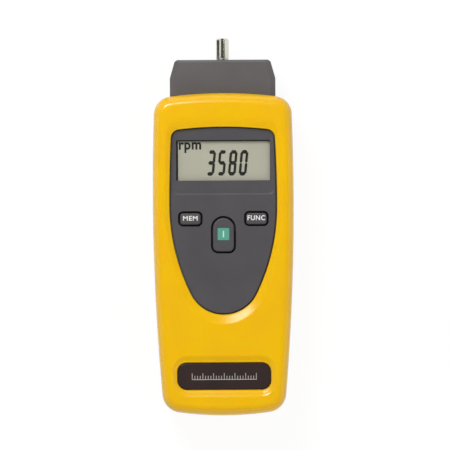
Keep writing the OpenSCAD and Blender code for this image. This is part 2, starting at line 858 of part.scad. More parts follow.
module sensor_head() {
    color("#64625f") difference() {
        union() {
            difference() {
                union() {
                    head_block(0, 0);
                    block([-ear_x, ear_y0, split_z - ear_h / 2], [ear_x, ear_y1, split_z + ear_h / 2]);
                }
                translate([0, -cut, 0]) head_block(head_wall, head_end_t - cut);
            }
            rod(bearing_boss_d, bearing_y0, head_y - head_end_t / 2);
            rod(laser_d + 2 * sleeve_wall, sleeve_y0, head_y - head_end_t / 2, optic_x);
            rod(sensor_base_d + 2 * sleeve_wall, sleeve_y0, head_y - head_end_t / 2, -optic_x);
        }
        rod(shaft_d + 2 * shaft_gap, bearing_y0, head_y + cut);
        rod(bearing_d + 2 * snug_gap, bearing_y0 - cut, bearing_y1);
        rod(ring_d + 2 * shaft_gap, bearing_y0, bearing_y1 + ring_relief);
        rod(laser_d + 2 * snug_gap, sleeve_y0 - cut, head_y - head_end_t, optic_x);
        rod(laser_hole_d, head_y - head_end_t - cut, head_y, optic_x);
        rod(window_d + 2 * snug_gap, head_y - window_sink - window_t, head_y + cut, optic_x);
        rod(sensor_base_d + 2 * snug_gap, sleeve_y0 - cut, head_y - head_end_t, -optic_x);
        rod(lens_d - 2 * lens_ledge, head_y - head_end_t - cut, head_y, -optic_x);
        rod(lens_d + 2 * snug_gap, head_y - lens_seat_t, head_y + cut, -optic_x);
    }
}

module laser_window() {
    color("#7a1f24", 0.6) rod(window_d, head_y - window_sink - window_t, head_y - window_sink, optic_x);
}

laser_l = 16;
laser_tail_l = 2;
laser_tail_in = 1.5;
laser_mouth_in = 0.5;
laser_mouth_l = 4;
module laser_module() {
    y1 = head_y - head_end_t - fit_gap;
    color("#b08d3c") difference() {
        union() {
            rod(laser_d, y1 - laser_l, y1, optic_x);
            rod(laser_d - 2 * laser_tail_in, y1 - laser_l - laser_tail_l, y1, optic_x);
        }
        rod(laser_hole_d - 2 * laser_mouth_in, y1 - laser_mouth_l, y1 + cut, optic_x);
    }
}

// The receiver lens is flat at the back and bulges towards the end face
lens_rim_t = 1;
lens_bulge = 0.8;
module receiver_lens() {
    y0 = head_y - lens_seat_t;
    ball_r = (lens_d ^ 2 / 4 + lens_bulge ^ 2) / (2 * lens_bulge);
    color("#c9d4dc", 0.5) intersection() {
        rod(lens_d, y0, head_y, -optic_x);
        translate([-optic_x, y0 + lens_rim_t + lens_bulge - ball_r, split_z]) sphere(r = ball_r, $fn = 96);
    }
}

lead_d = 0.5;
lead_l = 5;
lead_x = 1.3;
module photo_sensor() {
    y1 = head_y - head_end_t - fit_gap;
    color(steel) {
        rod(sensor_d, y1 - sensor_l, y1, -optic_x);
        rod(sensor_base_d, y1 - sensor_l - sensor_base_l, y1 - sensor_l, -optic_x);
        for (s = [-1, 1])
            rod(lead_d, y1 - sensor_l - sensor_base_l - lead_l, y1 - sensor_l, s * lead_x - optic_x);
    }
}

// Drive train: everything that turns with the shaft, which has a collar in front of its bearing
rear_bearing_in = 1.5;
rear_bearing_y0 = carrier_y0 + rear_bearing_in;
shaft_tail = 0.8;
shaft_y0 = rear_bearing_y0 - shaft_tail;
collar_h = 0.3;
shoulder_gap = 0.4;
shoulder_y = head_y + shoulder_gap;
keyway_end = 0.3;
tip_chamfer = 0.7;
clip_t = 0.8;
clip_h = 1.6;
clip_d = journal_d + 2 * clip_h;
clip_groove = 0.5;
clip_mouth = journal_d / 1.5;
groove_gap = 0.05;
clip_y = bearing_y0 - fit_gap - clip_t;
disc_in = 13.4;
disc_y = carrier_y0 + disc_in;
disc_t = 0.8;
hub_h = 2;
hub_d = journal_d + 2 * hub_h;
hub_l = 5;
slot_depth = 3;
slot_w = 1.1;
slot_edge = 1;
ring_h = 1.2;
ring_d = journal_d + 2 * ring_h;

module drive_shaft() {
    color(steel) difference() {
        union() {
            rod(journal_d, shaft_y0, bearing_y1);
            rod(journal_d + 2 * collar_h, bearing_y1, shoulder_y);
            rod(shaft_d, shoulder_y, shaft_y - tip_chamfer);
            translate([0, shaft_y - tip_chamfer, split_z]) rotate([-90, 0, 0])
                cylinder(d1 = shaft_d, d2 = shaft_d - 2 * tip_chamfer, h = tip_chamfer);
        }
        block([-keyway / 2, shoulder_y + keyway_end, split_z + shaft_d / 2 - keyway],
            [keyway / 2, shaft_y + cut, split_z + shaft_d]);
        difference() {
            rod(journal_d + cut, clip_y - groove_gap, clip_y + clip_t + groove_gap);
            rod(journal_d - 2 * clip_groove, clip_y - cut, clip_y + clip_t + cut);
        }
    }
}

module inner_rings() {
    color("#9a9da2") for (y = [rear_bearing_y0, bearing_y0])
        difference() {
            rod(ring_d, y, y + bearing_w);
            rod(journal_d + 2 * snug_gap, y - cut, y + bearing_w + cut);
        }
}

module retaining_ring() {
    color("#3c3e42") difference() {
        rod(clip_d, clip_y, clip_y + clip_t);
        rod(journal_d - 2 * clip_groove + 2 * snug_gap, clip_y - cut, clip_y + clip_t + cut);
        block([-clip_mouth / 2, clip_y - cut, split_z],
            [clip_mouth / 2, clip_y + clip_t + cut, split_z + clip_d]);
    }
}

module encoder_disc() {
    color(black) difference() {
        union() {
            rod(disc_d, disc_y - disc_t / 2, disc_y + disc_t / 2);
            rod(hub_d, disc_y - disc_t / 2, disc_y + hub_l);
        }
        rod(journal_d + 2 * snug_gap, disc_y - cut, disc_y + hub_l + cut);
        for (i = [0 : disc_slots - 1])
            translate([0, disc_y, split_z]) rotate([0, 360 * i / disc_slots, 0])
                translate([disc_d / 2 - slot_edge - slot_depth, -disc_t, -slot_w / 2])
                    cube([slot_depth, 2 * disc_t, slot_w]);
    }
}

// Outer race with its shields; the inner ring turns inside it
module bearing(y0) {
    color(steel) difference() {
        rod(bearing_d, y0, y0 + bearing_w);
        rod(ring_d + 2 * fit_gap, y0 - cut, y0 + bearing_w + cut);
    }
}

module front_bearing() {
    bearing(bearing_y0);
}

module rear_bearing() {
    bearing(rear_bearing_y0);
}

pedestal_d = bearing_d + 2 * bearing_boss_wall;
pedestal_end = 1.5;
pedestal_l = bearing_w + pedestal_end;
module bearing_carrier() {
    y0 = rear_bearing_y0;
    color("#3a3c40") difference() {
        union() {
            block([-carrier_half_w, carrier_y0, wall], [carrier_half_w, carrier_y1, carrier_top_z]);
            rod(pedestal_d, y0, y0 + pedestal_l);
            block([-pedestal_d / 2, y0, wall + carrier_t / 2], [pedestal_d / 2, y0 + pedestal_l, split_z]);
        }
        rod(bearing_d + 2 * snug_gap, y0 - 2 * cut, y0 + bearing_w);
        rod(ring_d + 2 * shaft_gap, y0, y0 + pedestal_l + cut);
        for (p = carrier_screw_spots)
            translate([p.x, p.y, wall - cut])
                cylinder(d = board_screw_d + 2 * fit_gap, h = carrier_t + 2 * cut);
    }
}

module carrier_screws() {
    color(steel) for (p = carrier_screw_spots)
        translate([p.x, p.y, carrier_top_z + board_screw_head_h]) rotate([180, 0, 0])
            screw(board_screw_d, board_screw_head_d, board_screw_head_h, carrier_screw_l);
}

opto_w = 6;
opto_l = 7;
opto_gap = 2.4;
opto_web_gap = 0.5;
opto_z = split_z - disc_d / 2 + slot_edge + slot_depth;
module optical_interrupter() {
    web_z = split_z - disc_d / 2 - opto_web_gap;
    color(black) difference() {
        block([-opto_w / 2, disc_y - opto_l / 2, carrier_top_z], [opto_w / 2, disc_y + opto_l / 2, opto_z]);
        block([-opto_w, disc_y - opto_gap / 2, web_z], [opto_w, disc_y + opto_gap / 2, opto_z + cut]);
    }
}

// Battery cells lie head to tail; each is turned from its half section
button_d = 5.5;
button_l = 1.2;
cell_edge = 0.6;
cell_y0 = bay_y0 + contact_t + spring_l + 2 * contact_gap;

module cell() {
    r = cell_d / 2;
    can_l = cell_l - button_l;
    rotate([-90, 0, 0]) rotate_extrude() polygon([
        [0, 0], [r - cell_edge, 0], [r, cell_edge], [r, can_l - cell_edge], [r - cell_edge, can_l],
        [button_d / 2, can_l], [button_d / 2, cell_l], [0, cell_l]]);
}

module cell_left() {
    color("#3b3f46") translate([-cell_x, cell_y0, cell_z]) cell();
}

module cell_right() {
    color("#3b3f46") translate([cell_x, bay_y0 + bay_y1 - cell_y0, cell_z]) rotate(180) cell();
}

// Conical contact spring, swept along its coil, standing on its wide end
wire_d = 0.7;
wire_sides = 6;
coil_turns = 3;
coil_steps = 12;
coil_r0 = 5;
coil_r1 = 3.6;
module contact_spring() {
    m = coil_turns * coil_steps;
    travel = spring_l - wire_d;
    function centre(i) = let (r = coil_r0 + (coil_r1 - coil_r0) * i / m, a = 360 * i / coil_steps)
        [r * cos(a), r * sin(a), wire_d / 2 + travel * i / m];
    function ring(i) = let (a = 360 * i / coil_steps)
        [for (j = [0 : wire_sides - 1]) let (b = 360 * j / wire_sides)
            centre(i) + wire_d / 2 * [cos(b) * cos(a), cos(b) * sin(a), sin(b)]];
    n = wire_sides;
    polyhedron(
        points = [for (i = [0 : m]) each ring(i)],
        faces = concat(
            [[for (j = [0 : n - 1]) j]],
            [for (i = [0 : m - 1], j = [0 : n - 1]) let (k = (j + 1) % n)
                [i * n + j, (i + 1) * n + j, (i + 1) * n + k, i * n + k]],
            [[for (j = [n - 1 : -1 : 0]) m * n + j]]),
        convexity = 8);
}

module spring_bottom() {
    color(steel) translate([-cell_x, bay_y0 + contact_t + contact_gap, cell_z])
        rotate([-90, 0, 0]) contact_spring();
}

module spring_top() {
    color(steel) translate([cell_x, bay_y1 - contact_t - contact_gap, cell_z])
        rotate([90, 0, 0]) contact_spring();
}

contact_in = 0.6;
plate_half = cell_d / 2 - contact_in;
module bridge_plate() {
    color(steel) block([-cell_x - plate_half, bay_y0, cell_z - plate_half],
        [cell_x + plate_half, bay_y0 + contact_t, cell_z + plate_half]);
}

module end_plate(x) {
    color(steel) block([x - plate_half, bay_y1 - contact_t, cell_z - plate_half],
        [x + plate_half, bay_y1, cell_z + plate_half]);
}

module plus_plate() {
    end_plate(-cell_x);
}

module minus_plate() {
    end_plate(cell_x);
}

front_shell();
rear_shell();
battery_door();
case_screws();
front_panel();
display_window();
display_cell();
display_frame();
connector_strips();
mem_key();
mem_plunger();
func_key();
func_plunger();
power_key();
power_plunger();
key_switches();
name_plate();
circuit_board();
controller_chip();
board_screws();
sensor_head();
laser_window();
laser_module();
receiver_lens();
photo_sensor();
drive_shaft();
inner_rings();
retaining_ring();
encoder_disc();
front_bearing();
rear_bearing();
bearing_carrier();
carrier_screws();
optical_interrupter();
cell_left();
cell_right();
spring_bottom();
spring_top();
bridge_plate();
plus_plate();
minus_plate();
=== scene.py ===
"""Looks of a hand-held laser tachometer: its moulded case, panel, keys, display, head and inside."""

import logging
import math
from dataclasses import dataclass, field, replace
from enum import Enum
from typing import Any, Callable, Protocol

import bmesh
import bpy
from bmesh.types import BMEdge, BMesh, BMFace, BMVert
from mathutils import Matrix, Vector


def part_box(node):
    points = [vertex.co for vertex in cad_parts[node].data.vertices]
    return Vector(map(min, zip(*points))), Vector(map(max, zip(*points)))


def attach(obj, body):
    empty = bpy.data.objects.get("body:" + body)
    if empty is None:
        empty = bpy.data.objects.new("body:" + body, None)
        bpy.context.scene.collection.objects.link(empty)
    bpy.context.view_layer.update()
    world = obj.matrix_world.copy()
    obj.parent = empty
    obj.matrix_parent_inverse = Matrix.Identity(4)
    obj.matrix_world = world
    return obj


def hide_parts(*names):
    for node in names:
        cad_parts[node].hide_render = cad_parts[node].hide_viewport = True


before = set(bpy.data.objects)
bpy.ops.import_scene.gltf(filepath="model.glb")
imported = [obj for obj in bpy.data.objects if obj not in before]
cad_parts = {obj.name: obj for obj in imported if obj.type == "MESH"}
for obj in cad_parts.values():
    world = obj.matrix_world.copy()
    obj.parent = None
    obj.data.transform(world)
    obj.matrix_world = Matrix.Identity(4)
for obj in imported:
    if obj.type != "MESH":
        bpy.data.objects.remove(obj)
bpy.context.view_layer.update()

LOG = logging.getLogger("tachometer")
WHITE = (1.0, 1.0, 1.0, 1.0)
NOISE_MEAN = 0.5

# Shapes are worked in millimetres, and a finished mesh is in metres.
MM = 0.001
TOUCH = 1e-4  # points nearer than this are merged
APART = 1e-3  # keeps bars that meet from being merged
LAND = 0.03  # level strip beside a rounding
PRINT_T = 0.04  # thickness of a print
SHARP = math.radians(32)  # edges that turn more keep a crisp shade
FLAT = math.radians(0.5)  # faces that turn less become one
EDGE_TURN = math.radians(40)  # edges that turn more are rounded


class Body(str, Enum):
    """Bodies that the pieces ride on."""

    CASE = "case"
    SHAFT = "shaft"
    MEMORY = "mem_button"
    FUNCTION = "func_button"
    POWER = "power_button"
    DOOR = "door"


class Slot(str, Enum):
    """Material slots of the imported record."""

    CASE_YELLOW = "case_yellow"
    DARK_MOULDING = "dark_moulding"
    HEAD_GREY = "head_grey"
    PLATE_BLACK = "plate_black"
    DISPLAY_GLASS = "display_glass"
    DISPLAY_GREY = "display_grey"
    LASER_RED = "laser_red"
    OPTIC_GLASS = "optic_glass"
    STEEL = "steel"
    DARK_STEEL = "dark_steel"
    BRASS = "brass"
    BOARD = "board"
    INNER_BLACK = "inner_black"
    INNER_WHITE = "inner_white"
    STRIP_RUBBER = "strip_rubber"
    CELL_JACKET = "cell_jacket"


def linear(code: str) -> tuple[float, float, float, float]:
    """Turns a colour written as #rrggbb into linear values.

    Args:
        code: the colour as a painter would read it off a screen.

    Returns:
        Red, green, blue and a full alpha.
    """
    parts = [int(code[i:i + 2], 16) / 255 for i in (1, 3, 5)]
    red, green, blue = (p / 12.92 if p <= 0.04045 else ((p + 0.055) / 1.055) ** 2.4 for p in parts)
    return red, green, blue, 1.0


def math_node(operation: str, reflected: bool = False) -> Callable[["Socket", Any], "Socket"]:
    """Makes a method of Socket that adds one Math node.

    Args:
        operation: what the node works out.
        reflected: whether the socket is the second value.

    Returns:
        The method, which takes the other value.
    """
    def add_node(socket: "Socket", other: Any) -> "Socket":
        """Adds the node for two values."""
        first, second = (other, socket) if reflected else (socket, other)
        return socket.shader.node("ShaderNodeMath", {"operation": operation}, {0: first, 1: second})

    return add_node


class Socket:
    """Output of a shader node, with arithmetic that adds Math nodes.

    Comparisons give masks of 0 and 1, and | gives the larger of two masks. A value that goes there
    and back climbs from 0 to a reach and falls again, over and over.
    """

    __add__, __radd__ = math_node("ADD"), math_node("ADD", reflected=True)
    __sub__, __rsub__ = math_node("SUBTRACT"), math_node("SUBTRACT", reflected=True)
    __mul__, __rmul__ = math_node("MULTIPLY"), math_node("MULTIPLY", reflected=True)
    __gt__, __lt__ = math_node("GREATER_THAN"), math_node("LESS_THAN")
    __or__ = math_node("MAXIMUM")
    there_and_back = math_node("PINGPONG")

    def __init__(self, shader: "Shader", link: bpy.types.NodeSocket | None) -> None:
        """Keeps the socket and the node tree that it belongs to."""
        self.shader = shader
        self.link = link

    def ramp(self, low: float, high: float) -> "Socket":
        """Smooth step from 0 at low to 1 at high."""
        return self.shader.node("ShaderNodeMapRange", {"interpolation_type": "SMOOTHSTEP"},
                                {"Value": self, "From Min": low, "From Max": high})

    def beside(self, *names: str) -> list["Socket"]:
        """Outputs of the same node, by name."""
        return [Socket(self.shader, self.link.node.outputs[name]) for name in names]


class Shader:
    """Node tree of one material or of the world."""

    MIX_FACTOR, MIX_A, MIX_B, MIX_RESULT = 0, 6, 7, 2

    def __init__(self, owner: bpy.types.Material | bpy.types.World) -> None:
        """Gives the owner an empty tree.

        Args:
            owner: what the tree belongs to.
        """
        owner.use_nodes = True
        self.tree = owner.node_tree
        self.tree.nodes.clear()

    def node(self, kind: str, settings: dict[str, Any] | None = None,
             inputs: dict[Any, Any] | None = None, output: Any = 0) -> Socket:
        """Adds any node.

        Args:
            kind: the node's type.
            settings: properties of the node, which are set first.
            inputs: values or links, by socket name or number.
            output: name or number of the socket to return.

        Returns:
            The chosen output.
        """
        made = self.tree.nodes.new(kind)
        for key, value in (settings or {}).items():
            setattr(made, key, value)
        for key, value in (inputs or {}).items():
            if isinstance(value, Socket):
                self.tree.links.new(value.link, made.inputs[key])
            else:
                made.inputs[key].default_value = value
        return Socket(self, made.outputs[output] if len(made.outputs) else None)

    def place(self) -> Socket:
        """Place on the object, in metres."""
        return self.node("ShaderNodeTexCoord", output="Object")

    def axes(self) -> list[Socket]:
        """Place across and along the object, in metres."""
        return self.node("ShaderNodeSeparateXYZ", inputs={0: self.place()}).beside("X", "Y")

    def noise(self, size: float, detail: float = 2.0,
              stretch: tuple[float, float, float] = (1, 1, 1)) -> Socket:
        """Noise with patches of a given size.

        Args:
            size: size of a patch in millimetres.
            detail: number of finer layers.
            stretch: how many times finer the noise is along each axis.

        Returns:
            A value about NOISE_MEAN.
        """
        at = self.node("ShaderNodeMapping", inputs={"Vector": self.place(), "Scale": stretch})
        return self.node("ShaderNodeTexNoise",
                         inputs={"Vector": at, "Scale": 1 / (size * MM), "Detail": detail})

    def mix(self, factor: Socket, first: str, second: str) -> Socket:
        """Colour between two colours that are written as #rrggbb."""
        ends = {self.MIX_FACTOR: factor, self.MIX_A: linear(first), self.MIX_B: linear(second)}
        return self.node("ShaderNodeMix", {"data_type": "RGBA"}, ends, self.MIX_RESULT)

    def bump(self, height: Socket, depth: float) -> Socket:
        """Normal bent by a height that spans a depth in millimetres."""
        return self.node("ShaderNodeBump", inputs={"Height": height, "Distance": depth * MM})

    def glow(self, strength: float) -> Socket:
        """Surface that gives off white light."""
        return self.node("ShaderNodeEmission", inputs={"Color": WHITE, "Strength": strength})

    def surface(self, **inputs: Any) -> None:
        """Ends the tree in a Principled surface, with underscores for the blanks of socket names."""
        named = {key.replace("_", " "): value for key, value in inputs.items()}
        self.output(self.node("ShaderNodeBsdfPrincipled", inputs=named))

    def output(self, surface: Socket) -> None:
        """Ends a material's tree in a surface."""
        self.node("ShaderNodeOutputMaterial", inputs={"Surface": surface})


class Finish(Protocol):
    """What a material needs to be made."""

    name: str

    def paint(self, shader: Shader) -> None:
        """Fills the material's node tree."""


@dataclass(frozen=True)
class MouldedPlastic:
    """Moulded plastic with a fine spark-eroded grain and a faint cloudiness."""

    name: str
    colour: str
    shade: str
    roughness: float = 0.4
    grain: float = 0.35
    depth: float = 0.01
    coat: float = 0.0
    coat_roughness: float = 0.15
    gloss: float = 0.32
    grain_rough: float = 0.12
    cloud: float = 18.0
    cloud_span: tuple[float, float] = (0.3, 0.75)
    cloud_share: float = 0.8
    cloud_rough: float = 0.06
    glow: float = 0.0
    glow_reach: float = 0.8
    glow_colour: tuple[float, float, float] = (1.0, 0.35, 0.1)

    def paint(self, shader: Shader) -> None:
        """Clouds the colour, grains the surface and lets light spread a little under it.

        Args:
            shader: the material's node tree.
        """
        cloud = shader.noise(self.cloud, detail=3).ramp(*self.cloud_span)
        grain = shader.noise(self.grain)
        uneven = self.grain_rough * (grain - NOISE_MEAN) + self.cloud_rough * (cloud - NOISE_MEAN)
        shader.surface(
            Base_Color=shader.mix(cloud * self.cloud_share, self.colour, self.shade),
            Roughness=self.roughness + uneven, Specular_IOR_Level=self.gloss,
            Coat_Weight=self.coat, Coat_Roughness=self.coat_roughness,
            Subsurface_Weight=self.glow, Subsurface_Radius=self.glow_colour,
            Subsurface_Scale=self.glow_reach * MM, Normal=shader.bump(grain, self.depth))


@dataclass(frozen=True)
class PrintedInk:
    """Thin print whose cover varies a little."""

    name: str
    colour: str
    thin: str
    roughness: float = 0.5
    gloss: float = 0.3
    speck: float = 0.25
    speck_span: tuple[float, float] = (0.35, 0.8)
    speck_share: float = 0.5
    speck_rough: float = 0.1

    def paint(self, shader: Shader) -> None:
        """Lets the print wear thin in specks.

        Args:
            shader: the material's node tree.
        """
        specks = shader.noise(self.speck, detail=3).ramp(*self.speck_span)
        shader.surface(Base_Color=shader.mix(specks * self.speck_share, self.colour, self.thin),
                       Roughness=self.roughness + self.speck_rough * specks, Specular_IOR_Level=self.gloss)


@dataclass(frozen=True)
class ClearCast:
    """Clear or tinted moulding that lets most light through."""

    name: str
    colour: str
    cover: float
    roughness: float = 0.06
    haze: float = 6.0
    haze_share: float = 0.03

    def paint(self, shader: Shader) -> None:
        """Gives a thin gloss over what lies behind.

        Args:
            shader: the material's node tree.
        """
        haze = shader.noise(self.haze)
        shader.surface(Base_Color=linear(self.colour), Roughness=self.roughness + self.haze_share * haze,
                       Alpha=self.cover + self.haze_share * (haze - NOISE_MEAN))


@dataclass(frozen=True)
class DisplayFace:
    """Reflective liquid-crystal cell: grey-green with a fine reflector texture."""

    name: str
    colour: str = "#bbb8a7"
    shade: str = "#acaa97"
    roughness: float = 0.42
    speckle: float = 0.12
    speckle_share: float = 0.35
    speckle_rough: float = 0.15
    cloud: float = 14.0
    cloud_share: float = 0.6

    def paint(self, shader: Shader) -> None:
        """Speckles the reflector and clouds it faintly.

        Args:
            shader: the material's node tree.
        """
        speckle = shader.noise(self.speckle, detail=1)
        cloud = shader.noise(self.cloud)
        worn = self.speckle_share * speckle + self.cloud_share * cloud
        shader.surface(Base_Color=shader.mix(worn, self.colour, self.shade),
                       Roughness=self.roughness + self.speckle_rough * (speckle - NOISE_MEAN))


@dataclass(frozen=True)
class TurnedMetal:
    """Metal with the fine rings that turning or grinding leaves round the shaft's axis."""

    name: str
    colour: str
    shade: str
    roughness: float = 0.2
    ring: float = 0.12
    ring_stretch: tuple[float, float, float] = (0.02, 1.0, 0.02)
    ring_depth: float = 0.0002
    ring_share: float = 0.5
    cloud: float = 5.0
    cloud_share: float = 0.4
    uneven_rough: float = 0.06

    def paint(self, shader: Shader) -> None:
        """Rings the metal along its length, and clouds it.

        Args:
            shader: the material's node tree.
        """
        rings = shader.noise(self.ring, 3, self.ring_stretch)
        cloud = shader.noise(self.cloud, detail=3)
        uneven = self.uneven_rough * (rings - NOISE_MEAN) + self.uneven_rough * (cloud - NOISE_MEAN)
        worn = self.ring_share * rings + self.cloud_share * cloud
        shader.surface(Base_Color=shader.mix(worn, self.colour, self.shade), Metallic=1.0,
                       Roughness=self.roughness + uneven, Normal=shader.bump(rings, self.ring_depth))


@dataclass(frozen=True)
class BoardLaminate:
    """Solder mask over copper tracks."""

    name: str
    mask: str
    track: str
    pitch: float = 2.54
    track_share: float = 0.11
    track_t: float = 0.04
    patch: float = 7.0
    across_above: float = 0.53
    along_below: float = 0.45
    roughness: float = 0.38
    track_gloss: float = 0.08
    coat: float = 0.3

    def paint(self, shader: Shader) -> None:
        """Runs tracks both ways in broken lines.

        Args:
            shader: the material's node tree.
        """
        pitch = self.pitch * MM
        patches = shader.noise(self.patch, detail=1)
        on_x, on_y = (axis.there_and_back(pitch / 2) * (1 / pitch) < self.track_share
                      for axis in shader.axes())
        tracks = on_x * (patches > self.across_above) | on_y * (patches < self.along_below)
        shader.surface(Base_Color=shader.mix(tracks, self.mask, self.track), Coat_Weight=self.coat,
                       Roughness=self.roughness - self.track_gloss * tracks,
                       Normal=shader.bump(tracks, self.track_t))


@dataclass(frozen=True)
class CellJacket:
    """Printed foil jacket of a battery cell: a dark body and a copper-coloured band."""

    name: str
    body: str
    band: str
    middle: float
    band_from: float
    band_blur: float = 0.2
    metal: float = 0.25
    band_metal: float = 0.55
    roughness: float = 0.3
    scuff: float = 1.5
    scuff_stretch: tuple[float, float, float] = (1.0, 0.2, 1.0)
    scuff_rough: float = 0.15

    def paint(self, shader: Shader) -> None:
        """Bands both cells, whose tops point opposite ways.

        Args:
            shader: the material's node tree.
        """
        across, along = shader.axes()
        facing = (across > 0.0) * -2.0 + 1.0
        run = (along - self.middle * MM) * facing
        band = run.ramp(self.band_from * MM, (self.band_from + self.band_blur) * MM)
        scuff = shader.noise(self.scuff, 4, self.scuff_stretch)
        shader.surface(Base_Color=shader.mix(band, self.body, self.band),
                       Metallic=self.metal + self.band_metal * band,
                       Roughness=self.roughness + self.scuff_rough * scuff)


class Finishes:
    """Every finish of the tachometer, by slot or by its own name."""

    SLOTS: dict[Slot, Finish] = {
        Slot.CASE_YELLOW: MouldedPlastic("yellow_case", "#fac400", "#f6be00", 0.22, 0.45, 0.0012,
                                         gloss=0.54, glow=0.4),
        Slot.DARK_MOULDING: MouldedPlastic("dark_moulding", "#535154", "#4c4a4d", 0.5, 0.3, 0.01),
        Slot.HEAD_GREY: MouldedPlastic("head_grey", "#636061", "#5c595a", 0.46, 0.4, 0.012),
        Slot.PLATE_BLACK: MouldedPlastic("plate_black", "#3a2d2b", "#312624", 0.34, 0.2, 0.004, 0.3),
        Slot.DISPLAY_GLASS: ClearCast("display_glass", "#c8cfc2", 0.02),
        Slot.DISPLAY_GREY: DisplayFace("display_face"),
        Slot.LASER_RED: ClearCast("laser_window", "#5a0a10", 0.85, 0.1),
        Slot.OPTIC_GLASS: ClearCast("receiver_glass", "#5d6a78", 0.55, 0.04),
        Slot.STEEL: TurnedMetal("ground_steel", "#e2e0d3", "#c8c6b9"),
        Slot.DARK_STEEL: TurnedMetal("oiled_steel", "#54575c", "#3c3e42", 0.35),
        Slot.BRASS: TurnedMetal("turned_brass", "#c9a14a", "#a9812f"),
        Slot.BOARD: BoardLaminate("board_laminate", "#1f5c38", "#3c8a58"),
        Slot.INNER_BLACK: MouldedPlastic("inner_black", "#29292c", "#202023", 0.5, 0.3, 0.01),
        Slot.INNER_WHITE: MouldedPlastic("inner_white", "#e2e2dd", "#d6d6d0", 0.45, 0.3, 0.008),
        Slot.STRIP_RUBBER: MouldedPlastic("strip_rubber", "#c98fa0", "#b77d8f", 0.7, 0.2, 0.01),
        Slot.CELL_JACKET: CellJacket("cell_jacket", "#24272c", "#b87333", middle=-53.2, band_from=11.0),
    }
    LEGEND = PrintedInk("legend_white", "#eceae6", "#d9d7d2")
    POWER_GREEN = PrintedInk("power_green", "#5ba58f", "#509781")
    POWER_MARK = PrintedInk("power_mark", "#c6e6da", "#aed8c9")
    # this ink prints the reading and the unit, and also paints the window edge's shadow on the display cell
    SEGMENT = PrintedInk("segment_ink_and_painted_shadow", "#12120c", "#1a1a14", gloss=0.05)
    SCALE = PrintedInk("scale_print", "#b9b4ac", "#a39e96")

    def __init__(self) -> None:
        """Starts with no material made."""
        self._made: dict[str, bpy.types.Material] = {}

    def material(self, finish: Finish) -> bpy.types.Material:
        """Gives the material of a finish, made at its first use.

        Args:
            finish: one of the finishes above.

        Returns:
            The material.
        """
        if finish.name not in self._made:
            material = bpy.data.materials.new(finish.name)
            finish.paint(Shader(material))
            self._made[finish.name] = material
        return self._made[finish.name]


FINISHES = Finishes()


@dataclass(frozen=True)
class Extent:
    """Lowest and highest corner of a CAD node, in millimetres."""

    low: Vector
    high: Vector

    @classmethod
    def of(cls, node: str) -> "Extent":
        """Measures a node of the frame."""
        low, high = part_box(node)
        return cls(low / MM, high / MM)

    @property
    def middle(self) -> Vector:
        """Centre of the box."""
        return (self.low + self.high) / 2

    @property
    def size(self) -> Vector:
        """Width, length and height of the box."""
        return self.high - self.low


def measured(node: str) -> Any:
    """Dataclass field whose value is the extent of a CAD node."""
    return field(default_factory=lambda: Extent.of(node))


def heading(way: Vector) -> float:
    """Direction of a flat vector, in degrees."""
    return math.degrees(math.atan2(way.y, way.x))


@dataclass(frozen=True)
class Slope:
    """Even slope whose two ends are bent level, with each bend's length as a share of the slope."""

    foot: float
    head: float

    @property
    def steep(self) -> float:
        """How much steeper the even stretch is than the slope as a whole."""
        return 1 / (1 - (self.foot + self.head) / 2)

    def height(self, share: float) -> float:
        """Finds the height at a place on the slope.

        Args:
            share: how far up the slope, from 0 to 1.

        Returns:
            The height there, from 0 to 1.
        """
        if share < self.foot:
            return self.steep * share ** 2 / (2 * self.foot)
        if share > 1 - self.head:
            return 1 - self.steep * (1 - share) ** 2 / (2 * self.head)
        return self.steep * (share - self.foot / 2)

    def share(self, height: float) -> float:
        """Finds the place where the slope reaches a height.

        Args:
            height: the height, from 0 to 1.

        Returns:
            How far up the slope, from 0 to 1.
        """
        if height < self.steep * self.foot / 2:
            return math.sqrt(2 * self.foot * height / self.steep)
        if height > 1 - self.steep * self.head / 2:
            return 1 - math.sqrt(2 * self.head * (1 - height) / self.steep)
        return height / self.steep + self.foot / 2


def inner_fillet(first: Vector, first_r: float, second: Vector, second_r: float, radius: float) -> Vector:
    """Finds the circle that rounds the corner between two larger circles, on the right.

    Args:
        first: centre of one large circle.
        first_r: its radius.
        second: centre of the other large circle.
        second_r: its radius.
        radius: radius of the corner.

    Returns:
        Centre of the corner's circle.
    """
    apart = (second - first).length
    along_way = (second - first) / apart
    along = ((first_r - radius) ** 2 - (second_r - radius) ** 2 + apart ** 2) / (2 * apart)
    across = math.sqrt((first_r - radius) ** 2 - along ** 2)
    side = Vector((-along_way.y, along_way.x)) * across
    foot = first + along_way * along
    return max(foot + side, foot - side, key=lambda p: p.x)


@dataclass(frozen=True)
class Arc:
    """Round stretch of an outline, from one heading to another, in degrees."""

    centre: Vector
    radius: float
    start: float
    end: float
    steps: int

    def point(self, degrees: float, inset: float = 0.0) -> Vector:
        """Point of the arc at a heading, drawn in by an inset."""
        angle = math.radians(degrees)
        return self.centre + Vector((math.cos(angle), math.sin(angle))) * (self.radius - inset)

    def grown(self, by: float) -> "Arc":
        """The same arc with a larger radius."""
        return replace(self, radius=self.radius + by)


